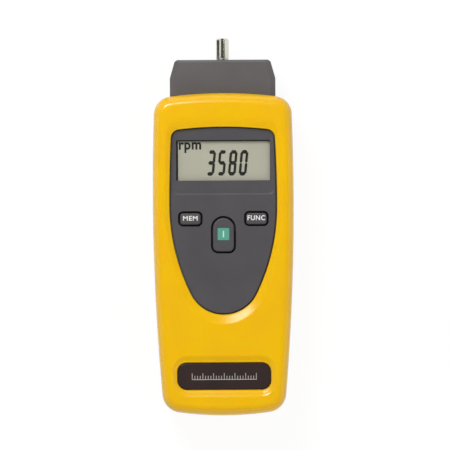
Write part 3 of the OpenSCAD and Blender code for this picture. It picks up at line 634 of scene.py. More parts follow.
@dataclass(frozen=True)
class Outline:
    """Closed outline seen from the front, as arcs run anticlockwise and joined by straight stretches.

    A mirrored outline gives only its right half, from the bottom up.
    """

    arcs: tuple[Arc, ...]
    mirrored: bool = False

    @classmethod
    def rounded(cls, middle: Vector, width: float, height: float, radius: float, steps: int = 8) -> "Outline":
        """Draws a rectangle with round corners.

        Args:
            middle: its centre.
            width: its size across.
            height: its size along.
            radius: radius of the corners.
            steps: number of edges in each corner.

        Returns:
            The outline.
        """
        out = Vector((width / 2 - radius, height / 2 - radius))
        corners = enumerate(((1, 1), (-1, 1), (-1, -1), (1, -1)))
        return cls(tuple(Arc(middle.xy + out * Vector(signs), radius, 90 * i, 90 * (i + 1), steps)
                         for i, signs in corners))

    @classmethod
    def arched(cls, middle: Vector, width: float, height: float, radius: float, steps: int = 8) -> "Outline":
        """Draws a half-round top on a body with round lower corners, centred across the object.

        Args:
            middle: its centre.
            width: its size across.
            height: its size along.
            radius: radius of the lower corners.
            steps: number of edges in each corner.

        Returns:
            The outline.
        """
        low = Vector((width / 2 - radius, middle.y - height / 2 + radius))
        top = Vector((0, middle.y + (height - width) / 2))
        return cls((Arc(low, radius, -90, 0, steps), Arc(top, width / 2, 0, 90, 2 * steps)), True)


def to_mesh(bm: BMesh, name: str) -> bpy.types.Mesh:
    """Makes a mesh of a finished bmesh.

    Args:
        bm: the bmesh, which is freed.
        name: name of the mesh.

    Returns:
        The mesh.
    """
    mesh = bpy.data.meshes.new(name)
    bm.to_mesh(mesh)
    bm.free()
    return mesh


def add_object(name: str, data: bpy.types.ID) -> bpy.types.Object:
    """Puts a mesh, text, lamp or camera into the scene.

    Args:
        name: name of the object.
        data: what it shows.

    Returns:
        The object.
    """
    made = bpy.data.objects.new(name, data)
    bpy.context.scene.collection.objects.link(made)
    return made


class Sculpt:
    """A mesh under work, in millimetres."""

    def __init__(self) -> None:
        """Starts empty."""
        self.bm = bmesh.new()

    def loop(self, outline: Outline, z: float, inset: float = 0.0) -> list[BMEdge]:
        """Draws an outline as a closed loop of edges, by spinning a point along each arc.

        Args:
            outline: what to draw.
            z: height of the loop.
            inset: how far it is drawn in.

        Returns:
            The loop's edges.
        """
        bm = self.bm
        old_verts, old_edges = set(bm.verts), set(bm.edges)
        last: BMVert | None = None
        first_point = outline.arcs[0].point(outline.arcs[0].start, inset)
        if outline.mirrored and abs(first_point.x) > TOUCH:
            last = bm.verts.new((0, first_point.y, z))
        for arc in outline.arcs:
            start = arc.point(arc.start, inset)
            if last is None or (last.co.xy - start).length > TOUCH:
                vert = bm.verts.new((*start, z))
                if last is not None:
                    bm.edges.new((last, vert))
                last = vert
            spun = bmesh.ops.spin(bm, geom=[last], cent=(*arc.centre, z), axis=(0, 0, 1), dvec=(0, 0, 0),
                                  angle=math.radians(arc.end - arc.start), steps=arc.steps, use_merge=False)
            last = next(g for g in spun["geom_last"] if isinstance(g, BMVert))
        verts = [v for v in bm.verts if v not in old_verts]
        if outline.mirrored:
            edges = [e for e in bm.edges if e not in old_edges]
            bmesh.ops.mirror(bm, geom=verts + edges, matrix=Matrix.Identity(4), merge_dist=TOUCH, axis="X")
        else:
            ends = [v for v in verts if len(v.link_edges) == 1]
            if (ends[0].co - ends[1].co).length > TOUCH:
                bm.edges.new(ends)
            bmesh.ops.remove_doubles(bm, verts=verts, dist=TOUCH)
        return [e for e in bm.edges if e not in old_edges]

    def fill(self, edges: list[BMEdge], up: bool = True) -> BMFace:
        """Fills a loop with one face.

        Args:
            edges: the loop.
            up: whether the face looks up or down.

        Returns:
            The face.
        """
        face = bmesh.ops.edgeloop_fill(self.bm, edges=edges)["faces"][0]
        face.normal_update()
        if (face.normal.z > 0) != up:
            face.normal_flip()
        return face

    def wall(self, edges: list[BMEdge], z: float) -> list[BMEdge]:
        """Runs an upright wall from a loop to another height.

        Args:
            edges: the loop.
            z: the other height.

        Returns:
            The loop there.
        """
        made = bmesh.ops.extrude_edge_only(self.bm, edges=edges)["geom"]
        verts = {g for g in made if isinstance(g, BMVert)}
        for vert in verts:
            vert.co.z = z
        return [g for g in made if isinstance(g, BMEdge) and set(g.verts) <= verts]

    def step(self, face: BMFace, inward: float, rise: float = 0.0) -> None:
        """Draws a face in and lifts it, with a strip of faces round it."""
        bmesh.ops.inset_region(self.bm, faces=[face], thickness=inward, depth=rise,
                               use_even_offset=True, use_boundary=True)

    def round_over(self, face: BMFace, run: float, rise: float, steps: int) -> None:
        """Rounds the edge of a face upwards along a quarter ellipse.

        Args:
            face: the face to draw in.
            run: width of the rounding.
            rise: its height.
            steps: number of strips.
        """
        turns = [math.pi / 2 * i / steps for i in range(steps + 1)]
        for a, b in zip(turns, turns[1:]):
            self.step(face, run * (math.cos(a) - math.cos(b)), rise * (math.sin(b) - math.sin(a)))
        self.step(face, LAND)

    def sink(self, face: BMFace, z: float) -> BMFace:
        """Extrudes a face straight to another height.

        Args:
            face: the face.
            z: the other height.

        Returns:
            The face there.
        """
        moved = bmesh.ops.extrude_discrete_faces(self.bm, faces=[face])["faces"][0]
        for vert in moved.verts:
            vert.co.z = z
        return moved

    def stepped_block(self, foot: list[BMEdge], ledge: tuple[float, float], top_z: float,
                      edge: float, edge_steps: int) -> BMFace:
        """Raises a block with a ledge round it and a rounded upper edge.

        Args:
            foot: loop that it stands on.
            ledge: width and height of the ledge.
            top_z: height of the top.
            edge: radius of the upper edge.
            edge_steps: number of strips in that edge.

        Returns:
            The top face.
        """
        ledge_w, ledge_z = ledge
        face = self.fill(self.wall(foot, ledge_z))
        self.step(face, ledge_w)
        top = self.sink(face, top_z - edge)
        self.round_over(top, edge, edge, edge_steps)
        return top

    def open(self, face: BMFace) -> list[BMEdge]:
        """Takes a face out.

        Args:
            face: the face.

        Returns:
            Its edges.
        """
        edges = list(face.edges)
        bmesh.ops.delete(self.bm, geom=[face], context="FACES_ONLY")
        return edges

    def cover(self, *loops: list[BMEdge]) -> None:
        """Covers the level ground between an outer loop and the loops inside it."""
        edges = [e for loop in loops for e in loop]
        bmesh.ops.triangle_fill(self.bm, edges=edges, use_beauty=True, use_dissolve=False, normal=(0, 0, 1))

    def bridge(self, first: list[BMEdge], second: list[BMEdge]) -> None:
        """Joins two loops by a strip."""
        bmesh.ops.bridge_loops(self.bm, edges=first + second)

    def strip(self, last: list[BMEdge], outline: Outline, z: float, inset: float = 0.0) -> list[BMEdge]:
        """Draws one more loop and joins it to the last one.

        Args:
            last: the loop to go on from.
            outline: what to draw.
            z: height of the new loop.
            inset: how far it is drawn in.

        Returns:
            The new loop's edges.
        """
        ring = self.loop(outline, z, inset)
        self.bridge(last, ring)
        return ring

    def soften(self, edges: list[BMEdge], radius: float, segments: int = 2) -> None:
        """Rounds edges by a small radius."""
        bmesh.ops.bevel(self.bm, geom=edges, offset=radius, offset_type="OFFSET", affect="EDGES",
                        segments=segments, profile=0.5, material=-1, clamp_overlap=True)

    def box(self, low: Vector, high: Vector) -> list[BMVert]:
        """Adds a box between two corners."""
        matrix = Matrix.Translation((low + high) / 2) @ Matrix.Diagonal((*(high - low), 1))
        return bmesh.ops.create_cube(self.bm, size=1, matrix=matrix)["verts"]

    def block(self, middle: Vector, width: float, length: float, height: float) -> list[BMVert]:
        """Adds a box about its middle."""
        half = Vector((width, length, height)) / 2
        return self.box(middle - half, middle + half)

    def move(self, matrix: Matrix) -> None:
        """Moves, scales or shears the whole shape."""
        bmesh.ops.transform(self.bm, matrix=matrix, verts=self.bm.verts)

    def mesh(self, name: str) -> bpy.types.Mesh:
        """Merges the shape, turns every face outwards and scales it to metres.

        Args:
            name: name of the mesh.

        Returns:
            The mesh.
        """
        bm = self.bm
        bmesh.ops.remove_doubles(bm, verts=bm.verts, dist=TOUCH)
        bmesh.ops.recalc_face_normals(bm, faces=bm.faces)
        bmesh.ops.scale(bm, vec=(MM, MM, MM), verts=bm.verts)
        return to_mesh(bm, name)


@dataclass
class Piece:
    """One finished object: its name, what it rides on, its finish and the CAD nodes that it stands for."""

    name: str
    body: Body
    finish: Finish
    slot: Slot | None = None
    stands_for: tuple[str, ...] = ()

    @classmethod
    def in_slot(cls, name: str, body: Body, slot: Slot, *stands_for: str) -> "Piece":
        """Piece that takes the finish of a slot."""
        return cls(name, body, Finishes.SLOTS[slot], slot, stands_for)

    def cast(self, sculpt: Sculpt) -> bpy.types.Object:
        """Makes the object from a shape under work."""
        return self.place(sculpt.mesh(self.name))

    def place(self, mesh: bpy.types.Mesh) -> bpy.types.Object:
        """Makes the object, smooths it, dresses it and lets it ride.

        Args:
            mesh: its shape, in place.

        Returns:
            The object.
        """
        mesh.shade_smooth()
        mesh.set_sharp_from_angle(angle=SHARP)
        mesh.materials.append(FINISHES.material(self.finish))
        made = add_object(self.name, mesh)
        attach(made, self.body.value)
        if self.stands_for:
            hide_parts(*self.stands_for)
        LOG.info("%s: %d faces on %s", self.name, len(mesh.polygons), self.body.value)
        return made


def weigh_normals(made: bpy.types.Object) -> None:
    """Lets large flat faces keep their own shading."""
    weigh = made.modifiers.new("weigh_normals", "WEIGHTED_NORMAL")
    weigh.keep_sharp = True


def refine(node: str, name: str, slot: Slot, edge: float = 0.0, body: Body = Body.CASE) -> None:
    """Puts a merged copy with rounded edges in the place of a CAD node.

    Args:
        node: the CAD node.
        name: name of the copy.
        slot: its material slot.
        edge: radius of the edges in millimetres, or 0 to leave them.
        body: what it rides on.
    """
    bm = bmesh.new()
    bm.from_mesh(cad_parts[node].data)
    bmesh.ops.remove_doubles(bm, verts=bm.verts, dist=TOUCH * MM)
    if edge:
        bmesh.ops.dissolve_limit(bm, angle_limit=FLAT, verts=bm.verts, edges=bm.edges)
    made = Piece.in_slot(name, body, slot, node).place(to_mesh(bm, name))
    if edge:
        bevel = made.modifiers.new("edges", "BEVEL")
        bevel.width = edge * MM
        bevel.segments = 2
        bevel.limit_method = "ANGLE"
        bevel.angle_limit = EDGE_TURN
    weigh_normals(made)


def evaluated_mesh(made: bpy.types.Object) -> bpy.types.Mesh:
    """Mesh of an object with its modifiers applied."""
    graph = bpy.context.evaluated_depsgraph_get()
    return bpy.data.meshes.new_from_object(made.evaluated_get(graph))


def carve(made: bpy.types.Object, cutter: Sculpt) -> None:
    """Cuts a shape out of a finished piece.

    Args:
        made: the piece.
        cutter: the shape.
    """
    tool = add_object("cutter", cutter.mesh("cutter"))
    cut = made.modifiers.new("cut", "BOOLEAN")
    cut.object = tool
    cut.solver = "EXACT"
    result = evaluated_mesh(made)
    made.modifiers.clear()
    made.data = result
    bpy.data.objects.remove(tool)
    result.set_sharp_from_angle(angle=SHARP)


@dataclass(frozen=True)
class Word:
    """Raised letters that spell a word of a given size.

    Weight thickens the strokes, as a share of the letter size, and spacing is a share of the usual one.
    """

    text: str
    width: float
    height: float
    weight: float
    spacing: float
    depth: float = 0.5
    curve_steps: int = 4

    def sculpt(self, at: Vector) -> Sculpt:
        """Makes the letters, one print's thickness high.

        Args:
            at: middle of the word.

        Returns:
            The letters.
        """
        curve = bpy.data.curves.new("letters", "FONT")
        curve.body = self.text
        curve.offset = self.weight
        curve.space_character = self.spacing
        curve.extrude = self.depth
        curve.resolution_u = self.curve_steps
        holder = add_object("letters", curve)
        flat = evaluated_mesh(holder)
        bpy.data.objects.remove(holder)
        s = Sculpt()
        s.bm.from_mesh(flat)
        bpy.data.meshes.remove(flat)
        spots = [v.co for v in s.bm.verts]
        low, high = (Vector(end(p[i] for p in spots) for i in range(3)) for end in (min, max))
        size = high - low
        fit = Matrix.Diagonal((self.width / size.x, self.height / size.y, PRINT_T / size.z, 1))
        s.move(Matrix.Translation(at) @ fit @ Matrix.Translation(-(low + high) / 2))
        return s


@dataclass
class NamePlate:
    """Dark plate near the bottom end, with a plain graduated scale printed on it."""

    radius: float = 4.3
    trim: float = 0.05
    rebate_w: float = 0.3
    rebate_d: float = 0.7
    edge: float = 0.27
    edge_steps: int = 4
    scale_w: float = 30.0
    tick_count: int = 25
    tick_w: float = 0.28
    tick_l: float = 1.6
    long_tick_l: float = 2.8
    long_every: int = 4
    rule_t: float = 0.28
    box: Extent = measured("name_plate")

    def outline(self, side: float = 0.0, end: float = 0.0) -> Outline:
        """Outline of the plate, let out by so much at its ends and its long sides."""
        width, height = self.box.size.xy + 2 * Vector((side, end))
        return Outline.rounded(self.box.middle, width, height, self.radius + side)

    def build(self) -> None:
        """Makes the plate and its print."""
        s = Sculpt()
        top_z = self.box.high.z
        foot = s.loop(self.outline(), self.box.low.z, self.trim)
        s.fill(foot, up=False)
        s.stepped_block(foot, (self.rebate_w, top_z - self.rebate_d), top_z, self.edge, self.edge_steps)
        Piece.in_slot("name_plate_body", Body.CASE, Slot.PLATE_BLACK, "name_plate").cast(s)
        self.print_scale()

    def print_scale(self) -> None:
        """Prints a rule with short and long ticks."""
        s = Sculpt()
        middle = self.box.middle
        base = middle.y - self.long_tick_l / 2
        z0, z1 = self.box.high.z - PRINT_T / 2, self.box.high.z + PRINT_T / 2
        half = self.scale_w / 2
        s.box(Vector((middle.x - half, base - self.rule_t, z0)), Vector((middle.x + half, base, z1)))
        for i in range(self.tick_count):
            x = middle.x - half + i * (self.scale_w - self.tick_w) / (self.tick_count - 1)
            length = self.tick_l if i % self.long_every else self.long_tick_l
            s.box(Vector((x, base + APART, z0)), Vector((x + self.tick_w, base + length, z1)))
        Piece("name_plate_scale", Body.CASE, Finishes.SCALE).cast(s)


@dataclass
class FrontPanel:
    """Shield-shaped panel with a shallow recess round the display, the window opening and the key holes."""

    side_r: float = 600.0
    flank_r: float = 92.0
    flank_up: float = 50.5
    spread: float = 6.0
    top_r: float = 178.0
    corner_r: float = 4.0
    arc_steps: tuple[int, ...] = (24, 24, 8, 12, 16)
    trim: float = 0.05
    rebate_w: float = 0.42
    rebate_d: float = 0.9
    edge: float = 0.3
    edge_steps: int = 4
    recess_d: float = 0.3
    recess_l: float = 31.5
    recess_in: float = 0.6
    recess_r: float = 3.0
    recess_r_steps: int = 8
    ramp_w: float = 0.9
    ramp_steps: int = 4
    ramp: Slope = Slope(0.25, 0.25)
    lens_side: float = 1.4
    window_r: float = 0.5
    window_r_steps: int = 4
    mouth_r: float = 0.2
    box: Extent = measured("front_panel")
    lens: Extent = measured("display_window")

    def arcs(self, side: float = 0.0, tip: float = 0.0, top: float = 0.0,
             spread: float = 0.0) -> tuple[Arc, ...]:
        """Arcs of the panel's right half: tip, flank, side, corner and top.

        Args:
            side: how far the outline is let out at the sides.
            tip: how far at the tip.
            top: how far at the top.
            spread: how much longer the flank's radius is, which lets it out towards the tip.

        Returns:
            The arcs, from the tip up.
        """
        half, tip_y, top_y = self.box.high.x, self.box.low.y, self.box.high.y
        flank_y, flank_r = tip_y + self.flank_up, self.flank_r + side + spread
        flank_c = Vector((half + side - flank_r, flank_y))
        reach = flank_r + tip_y - tip
        tip_c = Vector((0, (reach ** 2 - flank_c.x ** 2 - flank_y ** 2) / (2 * (reach - flank_y))))
        side_c, top_c = Vector((half - self.side_r, flank_y)), Vector((0, top_y - self.top_r))
        corner_r = self.corner_r + (side + top) / 2
        corner_c = inner_fillet(side_c, self.side_r + side, top_c, self.top_r + top, corner_r)
        turns = (-90, heading(tip_c - flank_c), 0, heading(corner_c - side_c), heading(corner_c - top_c), 90)
        centres = (tip_c, flank_c, side_c, corner_c, top_c)
        radii = (tip_c.y - tip_y + tip, flank_r, self.side_r + side, corner_r, self.top_r + top)
        return tuple(map(Arc, centres, radii, turns, turns[1:], self.arc_steps))

    def outline(self, side: float = 0.0, tip: float = 0.0, top: float = 0.0) -> Outline:
        """Outline of the panel, let out by so much and spread where the tip goes out more than the sides."""
        return Outline(self.arcs(side, tip, top, self.spread * (tip - side)), True)

    def recess(self) -> Outline:
        """Draws the recess: the panel's own top, closed by a straight lower edge with round corners.

        Returns:
            The outline.
        """
        side, corner, top = (arc.grown(-self.recess_in) for arc in self.arcs()[2:])
        low_y = self.box.high.y - self.recess_l + self.recess_r
        turn = math.degrees(math.asin((low_y - side.centre.y) / (side.radius + self.recess_in)))
        low_c = Vector((side.point(turn, self.recess_r).x, low_y))
        low = Arc(low_c, self.recess_r, -90, 0, self.recess_r_steps)
        return Outline((low, replace(side, start=turn), corner, top), True)

    def window(self) -> Outline:
        """Outline of the display opening, inside the flange of its window."""
        width, height = self.lens.size.xy - 2 * Vector((self.lens_side, self.lens_side))
        return Outline.rounded(self.lens.middle, width, height, self.window_r, self.window_r_steps)

    def build(self, holes: list[Outline]) -> None:
        """Makes the panel.

        Args:
            holes: outlines of the key holes.
        """
        s = Sculpt()
        low, high = self.box.low.z, self.box.high.z
        foot = s.loop(self.outline(), low, self.trim)
        face = s.stepped_block(foot, (self.rebate_w, high - self.rebate_d), high, self.edge, self.edge_steps)
        rim = s.open(face)
        brink = floor = s.loop(self.recess(), high)
        for share in (i / self.ramp_steps for i in range(1, self.ramp_steps + 1)):
            drop = self.recess_d * self.ramp.height(share)
            floor = s.strip(floor, self.recess(), high - drop, self.ramp_w * share)
        window = s.loop(self.window(), high - self.recess_d)
        key_mouths = [s.loop(hole, high) for hole in holes]
        s.cover(rim, brink, *key_mouths)
        s.cover(floor, window)
        mouths = (window, *key_mouths)
        s.cover(foot, *(s.wall(mouth, low) for mouth in mouths))
        bmesh.ops.recalc_face_normals(s.bm, faces=s.bm.faces)
        s.soften([e for mouth in mouths for e in mouth], self.mouth_r)
        made = Piece.in_slot("front_panel_moulding", Body.CASE, Slot.DARK_MOULDING, "front_panel").cast(s)
        weigh_normals(made)


class KeyMark(Enum):
    """What is printed on each key."""

    MEMORY = "MEM"
    FUNCTION = "FUNC"
    POWER = "I"


@dataclass
class Key:
    """One key: a cap with rounded edges over a flange under the panel."""

    node: str
    body: Body
    mark: KeyMark
    mark_w: float
    mark_h: float
    mark_up: float
    corner_r: float
    flange_w: float = 1.2
    flange_t: float = 1.1
    edge: float = 0.7
    edge_steps: int = 6
    gap: float = 0.85
    letter_weight: float = 0.02
    letter_spacing: float = 1.1
    field_w: float = 5.4
    field_h: float = 5.6
    field_r: float = 0.5
    field_r_steps: int = 4
    field_t: float = 0.06
    field_edge_steps: int = 2
    box: Extent = field(init=False)

    def __post_init__(self) -> None:
        """Measures the key in the frame."""
        self.box = Extent.of(self.node)

    def outline(self) -> Outline:
        """Outline of the cap."""
        draw = Outline.arched if self.mark is KeyMark.POWER else Outline.rounded
        return draw(self.box.middle, *(self.box.size.xy - Vector((2, 2)) * self.flange_w), self.corner_r)

    def hole(self) -> Outline:
        """Outline of its hole in the panel."""
        cap = self.outline()
        return replace(cap, arcs=tuple(arc.grown(self.gap) for arc in cap.arcs))

    def build(self) -> None:
        """Makes the cap and prints its mark."""
        s = Sculpt()
        low, high = self.box.low.z, self.box.high.z
        foot = s.loop(self.outline(), low, -self.flange_w)
        s.fill(foot, up=False)
        s.stepped_block(foot, (self.flange_w, low + self.flange_t), high, self.edge, self.edge_steps)
        Piece.in_slot(f"{self.node}_cap", self.body, Slot.DARK_MOULDING, self.node).cast(s)
        at = Vector((self.box.middle.x, self.box.middle.y + self.mark_up, high))
        if self.mark is KeyMark.POWER:
            self.print_bar(at)
        else:
            word = Word(self.mark.value, self.mark_w, self.mark_h, self.letter_weight, self.letter_spacing)
            Piece(f"{self.node}_legend", self.body, Finishes.LEGEND).cast(word.sculpt(at))

    def print_bar(self, at: Vector) -> None:
        """Prints the power key's bar on its green field.

        Args:
            at: middle of the field, on the cap's face.
        """
        s = Sculpt()
        edge = self.field_t / 2
        outline = Outline.rounded(at, self.field_w, self.field_h, self.field_r, self.field_r_steps)
        foot = s.loop(outline, at.z - self.field_t)
        s.fill(foot, up=False)
        s.round_over(s.fill(s.wall(foot, at.z + edge)), edge, edge, self.field_edge_steps)
        Piece("power_key_field", self.body, Finishes.POWER_GREEN).cast(s)
        bar = Sculpt()
        bar.block(at + Vector((0, 0, self.field_t + PRINT_T / 2)), self.mark_w, self.mark_h, PRINT_T)
        Piece("power_key_mark", self.body, Finishes.POWER_MARK).cast(bar)


@dataclass
class Display:
    """Liquid-crystal display: the reading and the unit on its cell, with the window edge's shadow painted at
    its left and top as dark strips, behind a clear window.
    """

    reading: str = "3580"
    middle: tuple[float, float] = (2.0, 29.6)
    digit_w: float = 3.65
    digit_h: float = 11.8
    pitch: float = 5.0
    stroke: float = 1.18
    bar: float = 1.7
    overlap: float = 0.55
    point: float = 0.42
    split: float = 0.33
    slant: float = 5.5
    # painted shadow of the window's edge: its width at the left and at the top, and its reach under the
    # opening
    shadow_w: tuple[float, float] = (0.7, 0.4)
    shadow_under: float = 0.5
    unit: Word = Word("rpm", 10.4, 5.0, 0.03, 1.08)
    unit_middle: tuple[float, float] = (-15.3, 36.8)
    window_edge: float = 0.15
    cell: Extent = measured("display_cell")

    SEGMENTS = {"a": (0, 1), "b": (1, 0.5), "c": (1, -0.5), "d": (0, -1),
                "e": (-1, -0.5), "f": (-1, 0.5), "g": (0, 0)}
    LIT = {"0": "abcdef", "1": "bc", "2": "abged", "3": "abgcd", "4": "fgbc", "5": "afgcd",
           "6": "afgedc", "7": "abc", "8": "abcdefg", "9": "abcdfg"}

    def segment(self, s: Sculpt, spot: tuple[float, float], x: float) -> None:
        """Adds one bar with pointed ends.

        Args:
            s: the mesh to add to.
            spot: place in the digit, in half sizes.
            x: middle of the digit.
        """
        upright = spot[0] != 0
        reach_x, reach_y = self.digit_w - self.stroke, self.digit_h - self.bar
        length = (reach_y / 2 if upright else reach_x) + self.overlap * self.stroke - 2 * self.split
        size = (self.stroke, length) if upright else (length, self.bar)
        verts = s.block(Vector((x + spot[0] * reach_x / 2, spot[1] * reach_y / 2, 0)), *size, PRINT_T)
        edges = {e for v in verts for e in v.link_edges}
        posts = [e for e in edges if abs(e.verts[0].co.z - e.verts[1].co.z) > PRINT_T / 2]
        s.soften(posts, self.point * self.stroke, segments=1)

    def paint_edge_shadow(self, opening: Outline) -> None:
        """Paints the shadow that the opening's edge casts on the left and the top of the cell, as dark
        strips.

        Args:
            opening: outline of the panel's opening.
        """
        right_top, left_top, left_low, _ = (arc.point(arc.start + 45) for arc in opening.arcs)
        z, under = self.cell.high.z, self.shadow_under
        shadow_left_w, shadow_top_h = self.shadow_w
        s = Sculpt()
        s.box(Vector((left_low.x - under, left_low.y - under, z)),
              Vector((left_low.x + shadow_left_w, left_top.y - shadow_top_h, z + PRINT_T)))
        s.box(Vector((left_top.x - under, left_top.y - shadow_top_h + APART, z)),
              Vector((right_top.x + under, right_top.y + under, z + PRINT_T)))
        # dark strips painted where the opening's left and top edges cast their shadow on the cell
        Piece("display_painted_shadow", Body.CASE, Finishes.SEGMENT).cast(s)

    def build(self, opening: Outline) -> None:
        """Paints the window edge's shadow, prints the reading and the unit, and dresses the window.

        Args:
            opening: outline of the panel's opening over the display.
        """
        self.paint_edge_shadow(opening)
        print_z = self.cell.high.z + PRINT_T / 2
        s = Sculpt()
        for i, digit in enumerate(self.reading):
            x = (i - (len(self.reading) - 1) / 2) * self.pitch
            for name in self.LIT[digit]:
                self.segment(s, self.SEGMENTS[name], x)
        shear = Matrix.Identity(4)
        shear[0][1] = math.tan(math.radians(self.slant))
        s.move(Matrix.Translation((*self.middle, print_z)) @ shear)
        Piece("display_reading", Body.CASE, Finishes.SEGMENT).cast(s)
        unit = self.unit.sculpt(Vector((*self.unit_middle, print_z)))
        Piece("display_unit", Body.CASE, Finishes.SEGMENT).cast(unit)
        refine("display_window", "display_window_lens", Slot.DISPLAY_GLASS, self.window_edge)


@dataclass
class FrontShell:
    """Yellow front half of the case, with dished seats for the panel and the name plate."""

    panel: FrontPanel
    plate: NamePlate
    side_r: float = 1070.0
    widest_up: float = 101.5
    top_r: float = 203.0
    bottom_r: float = 150.0
    top_corner_r: float = 8.6
    bottom_corner_r: float = 9.0
    arc_steps: tuple[int, ...] = (16, 20, 24, 20, 16)
    wall: float = 2.4
    edge_w: float = 4.7
    edge_h: float = 6.0
    edge_steps: int = 12
    panel_dish: tuple[float, ...] = (3.0, 5.0, 6.4)
    panel_slopes: tuple[Slope, ...] = (Slope(0.05, 0.6), Slope(0.05, 0.2), Slope(0.05, 0.8))
    plate_dish: tuple[float, ...] = (2.0, 3.6)
    plate_slopes: tuple[Slope, ...] = (Slope(0.25, 0.4), Slope(0.25, 0.4))
    dish_steps: int = 16
    seat_gap: float = 0.2
    seat_step: float = 0.5
    lip_r: float = 0.2
    lip_steps: int = 3
    ledge_w: float = 1.2
    pan_t: float = 1.6
    seam_r: float = 0.3
    head_gap: float = 0.2
    ear_w: float = 1.5
    box: Extent = measured("front_shell")

    def outline(self) -> Outline:
        """Draws the case: bottom end, corner, side, corner and top end.

        Returns:
            The outline.
        """
        low, high = self.box.low, self.box.high
        side_c = Vector((high.x - self.side_r, low.y + self.widest_up))
        top_c, bottom_c = Vector((0, high.y - self.top_r)), Vector((0, low.y + self.bottom_r))
        top_corner = inner_fillet(side_c, self.side_r, top_c, self.top_r, self.top_corner_r)
        low_corner = inner_fillet(side_c, self.side_r, bottom_c, self.bottom_r, self.bottom_corner_r)
        turns = (-90, heading(low_corner - bottom_c), heading(low_corner - side_c),
                 heading(top_corner - side_c), heading(top_corner - top_c), 90)
        centres = (bottom_c, low_corner, side_c, top_corner, top_c)
        radii = (self.bottom_r, self.bottom_corner_r, self.side_r, self.top_corner_r, self.top_r)
        return Outline(tuple(map(Arc, centres, radii, turns, turns[1:], self.arc_steps)), True)

    def seat(self, s: Sculpt, outline: Callable[..., Outline], widths: tuple[float, ...],
             slopes: tuple[Slope, ...], floor_z: float) -> tuple[list[BMEdge], BMFace]:
        """Sinks a dish that slopes down from the face, rolls over a lip and drops into a pocket.

        Args:
            s: the mesh of the shell.
            outline: gives the outline of what sits there, let out by so much on each side.
            widths: width of the slope on each of those sides.
            slopes: form of the slope on each of those sides.
            floor_z: height of the pocket's floor.

        Returns:
            The dish's rim on the face, and the pocket's floor.
        """
        face_z, gap, lip = self.box.high.z, self.seat_gap, self.lip_r
        lip_z = self.panel.box.high.z + self.seat_step
        rim = last = s.loop(outline(*(gap + w + LAND for w in widths)), face_z)
        for i in range(self.dish_steps, -1, -1):
            height = slopes[0].height(i / self.dish_steps)
            outs = (gap + lip + (w - lip) * slope.share(height) for w, slope in zip(widths, slopes))
            last = s.strip(last, outline(*outs), lip_z + (face_z - lip_z) * height)
        for i in range(1, self.lip_steps + 1):
            turn = math.pi / 2 * i / self.lip_steps
            out = gap + lip * (1 - math.sin(turn))
            last = s.strip(last, outline(*(out for _ in widths)), lip_z - lip * (1 - math.cos(turn)))
        return rim, s.fill(s.wall(last, floor_z))

    def build(self) -> None:
        """Makes the shell and cuts the opening for the sensor head."""
        s = Sculpt()
        panel, plate = self.panel.box, self.plate.box
        face_z, seam_z = self.box.high.z, self.box.low.z
        ceiling_z = panel.low.z - self.pan_t
        seam = s.loop(self.outline(), seam_z)
        face = s.fill(s.wall(seam, face_z - self.edge_h))
        s.round_over(face, self.edge_w, self.edge_h, self.edge_steps)
        crown = s.open(face)
        panel_rim, ledge = self.seat(s, self.panel.outline, self.panel_dish, self.panel_slopes, panel.low.z)
        plate_rim, _ = self.seat(s, self.plate.outline, self.plate_dish, self.plate_slopes, plate.low.z)
        s.cover(crown, panel_rim, plate_rim)
        s.step(ledge, self.ledge_w)
        well = s.open(s.sink(ledge, ceiling_z))
        inner = s.strip(seam, self.outline(), seam_z, self.wall)
        s.cover(s.wall(inner, ceiling_z), well)
        bmesh.ops.recalc_face_normals(s.bm, faces=s.bm.faces)
        s.soften(seam, self.seam_r)
        made = Piece.in_slot("front_shell_moulding", Body.CASE, Slot.CASE_YELLOW, "front_shell").cast(s)
        head = Extent.of("sensor_head")
        half = head.high.x - self.ear_w + self.head_gap
        cutter = Sculpt()
        cutter.box(Vector((-half, head.low.y - self.head_gap, seam_z - self.wall)),
                   Vector((half, self.box.high.y + self.wall, head.high.z + self.head_gap)))
        carve(made, cutter)
        weigh_normals(made)


def dress(nodes: dict[Slot, tuple[str, ...]]) -> None:
    """Gives CAD nodes that stay the finish of a slot.

    Args:
        nodes: names of the nodes, by slot.
    """
    for slot, names in nodes.items():
        for name in names:
            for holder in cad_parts[name].material_slots:
                holder.material = FINISHES.material(Finishes.SLOTS[slot])
            LOG.info("%s: CAD node in %s", name, slot.value)


@dataclass
class RearCase:
    """Rear half of the case with its battery door and screws."""

    edge: float = 0.15
    screw_edge: float = 0.25

    def build(self) -> None:
        """Dresses merged copies of the rear shell, the door and the screws."""
        refine("rear_shell", "rear_shell_moulding", Slot.CASE_YELLOW, self.edge)
        refine("battery_door", "battery_door_moulding", Slot.CASE_YELLOW, self.edge, Body.DOOR)
        refine("case_screws", "case_screw_set", Slot.STEEL, self.screw_edge)


@dataclass
class SensorHead:
    """Grey head with the laser window and the receiver lens in its end face."""

    edge: float = 0.45
    window_edge: float = 0.15

    def build(self) -> None:
        """Rounds the head's edges and dresses its optics."""
        refine("sensor_head", "sensor_head_moulding", Slot.HEAD_GREY, self.edge)
        refine("laser_window", "laser_window_pane", Slot.LASER_RED, self.window_edge)
        refine("receiver_lens", "receiver_lens_glass", Slot.OPTIC_GLASS)


@dataclass
class DriveTrain:
    """Shaft and what turns with it, and what carries it."""

    edge: float = 0.05

    def build(self) -> None:
        """Dresses the shaft, its bearings and the encoder."""
        refine("drive_shaft", "drive_shaft_steel", Slot.STEEL, self.edge, Body.SHAFT)
        dress({Slot.STEEL: ("inner_rings", "front_bearing", "rear_bearing", "carrier_screws"),
               Slot.DARK_STEEL: ("retaining_ring",),
               Slot.INNER_BLACK: ("encoder_disc", "optical_interrupter", "bearing_carrier")})


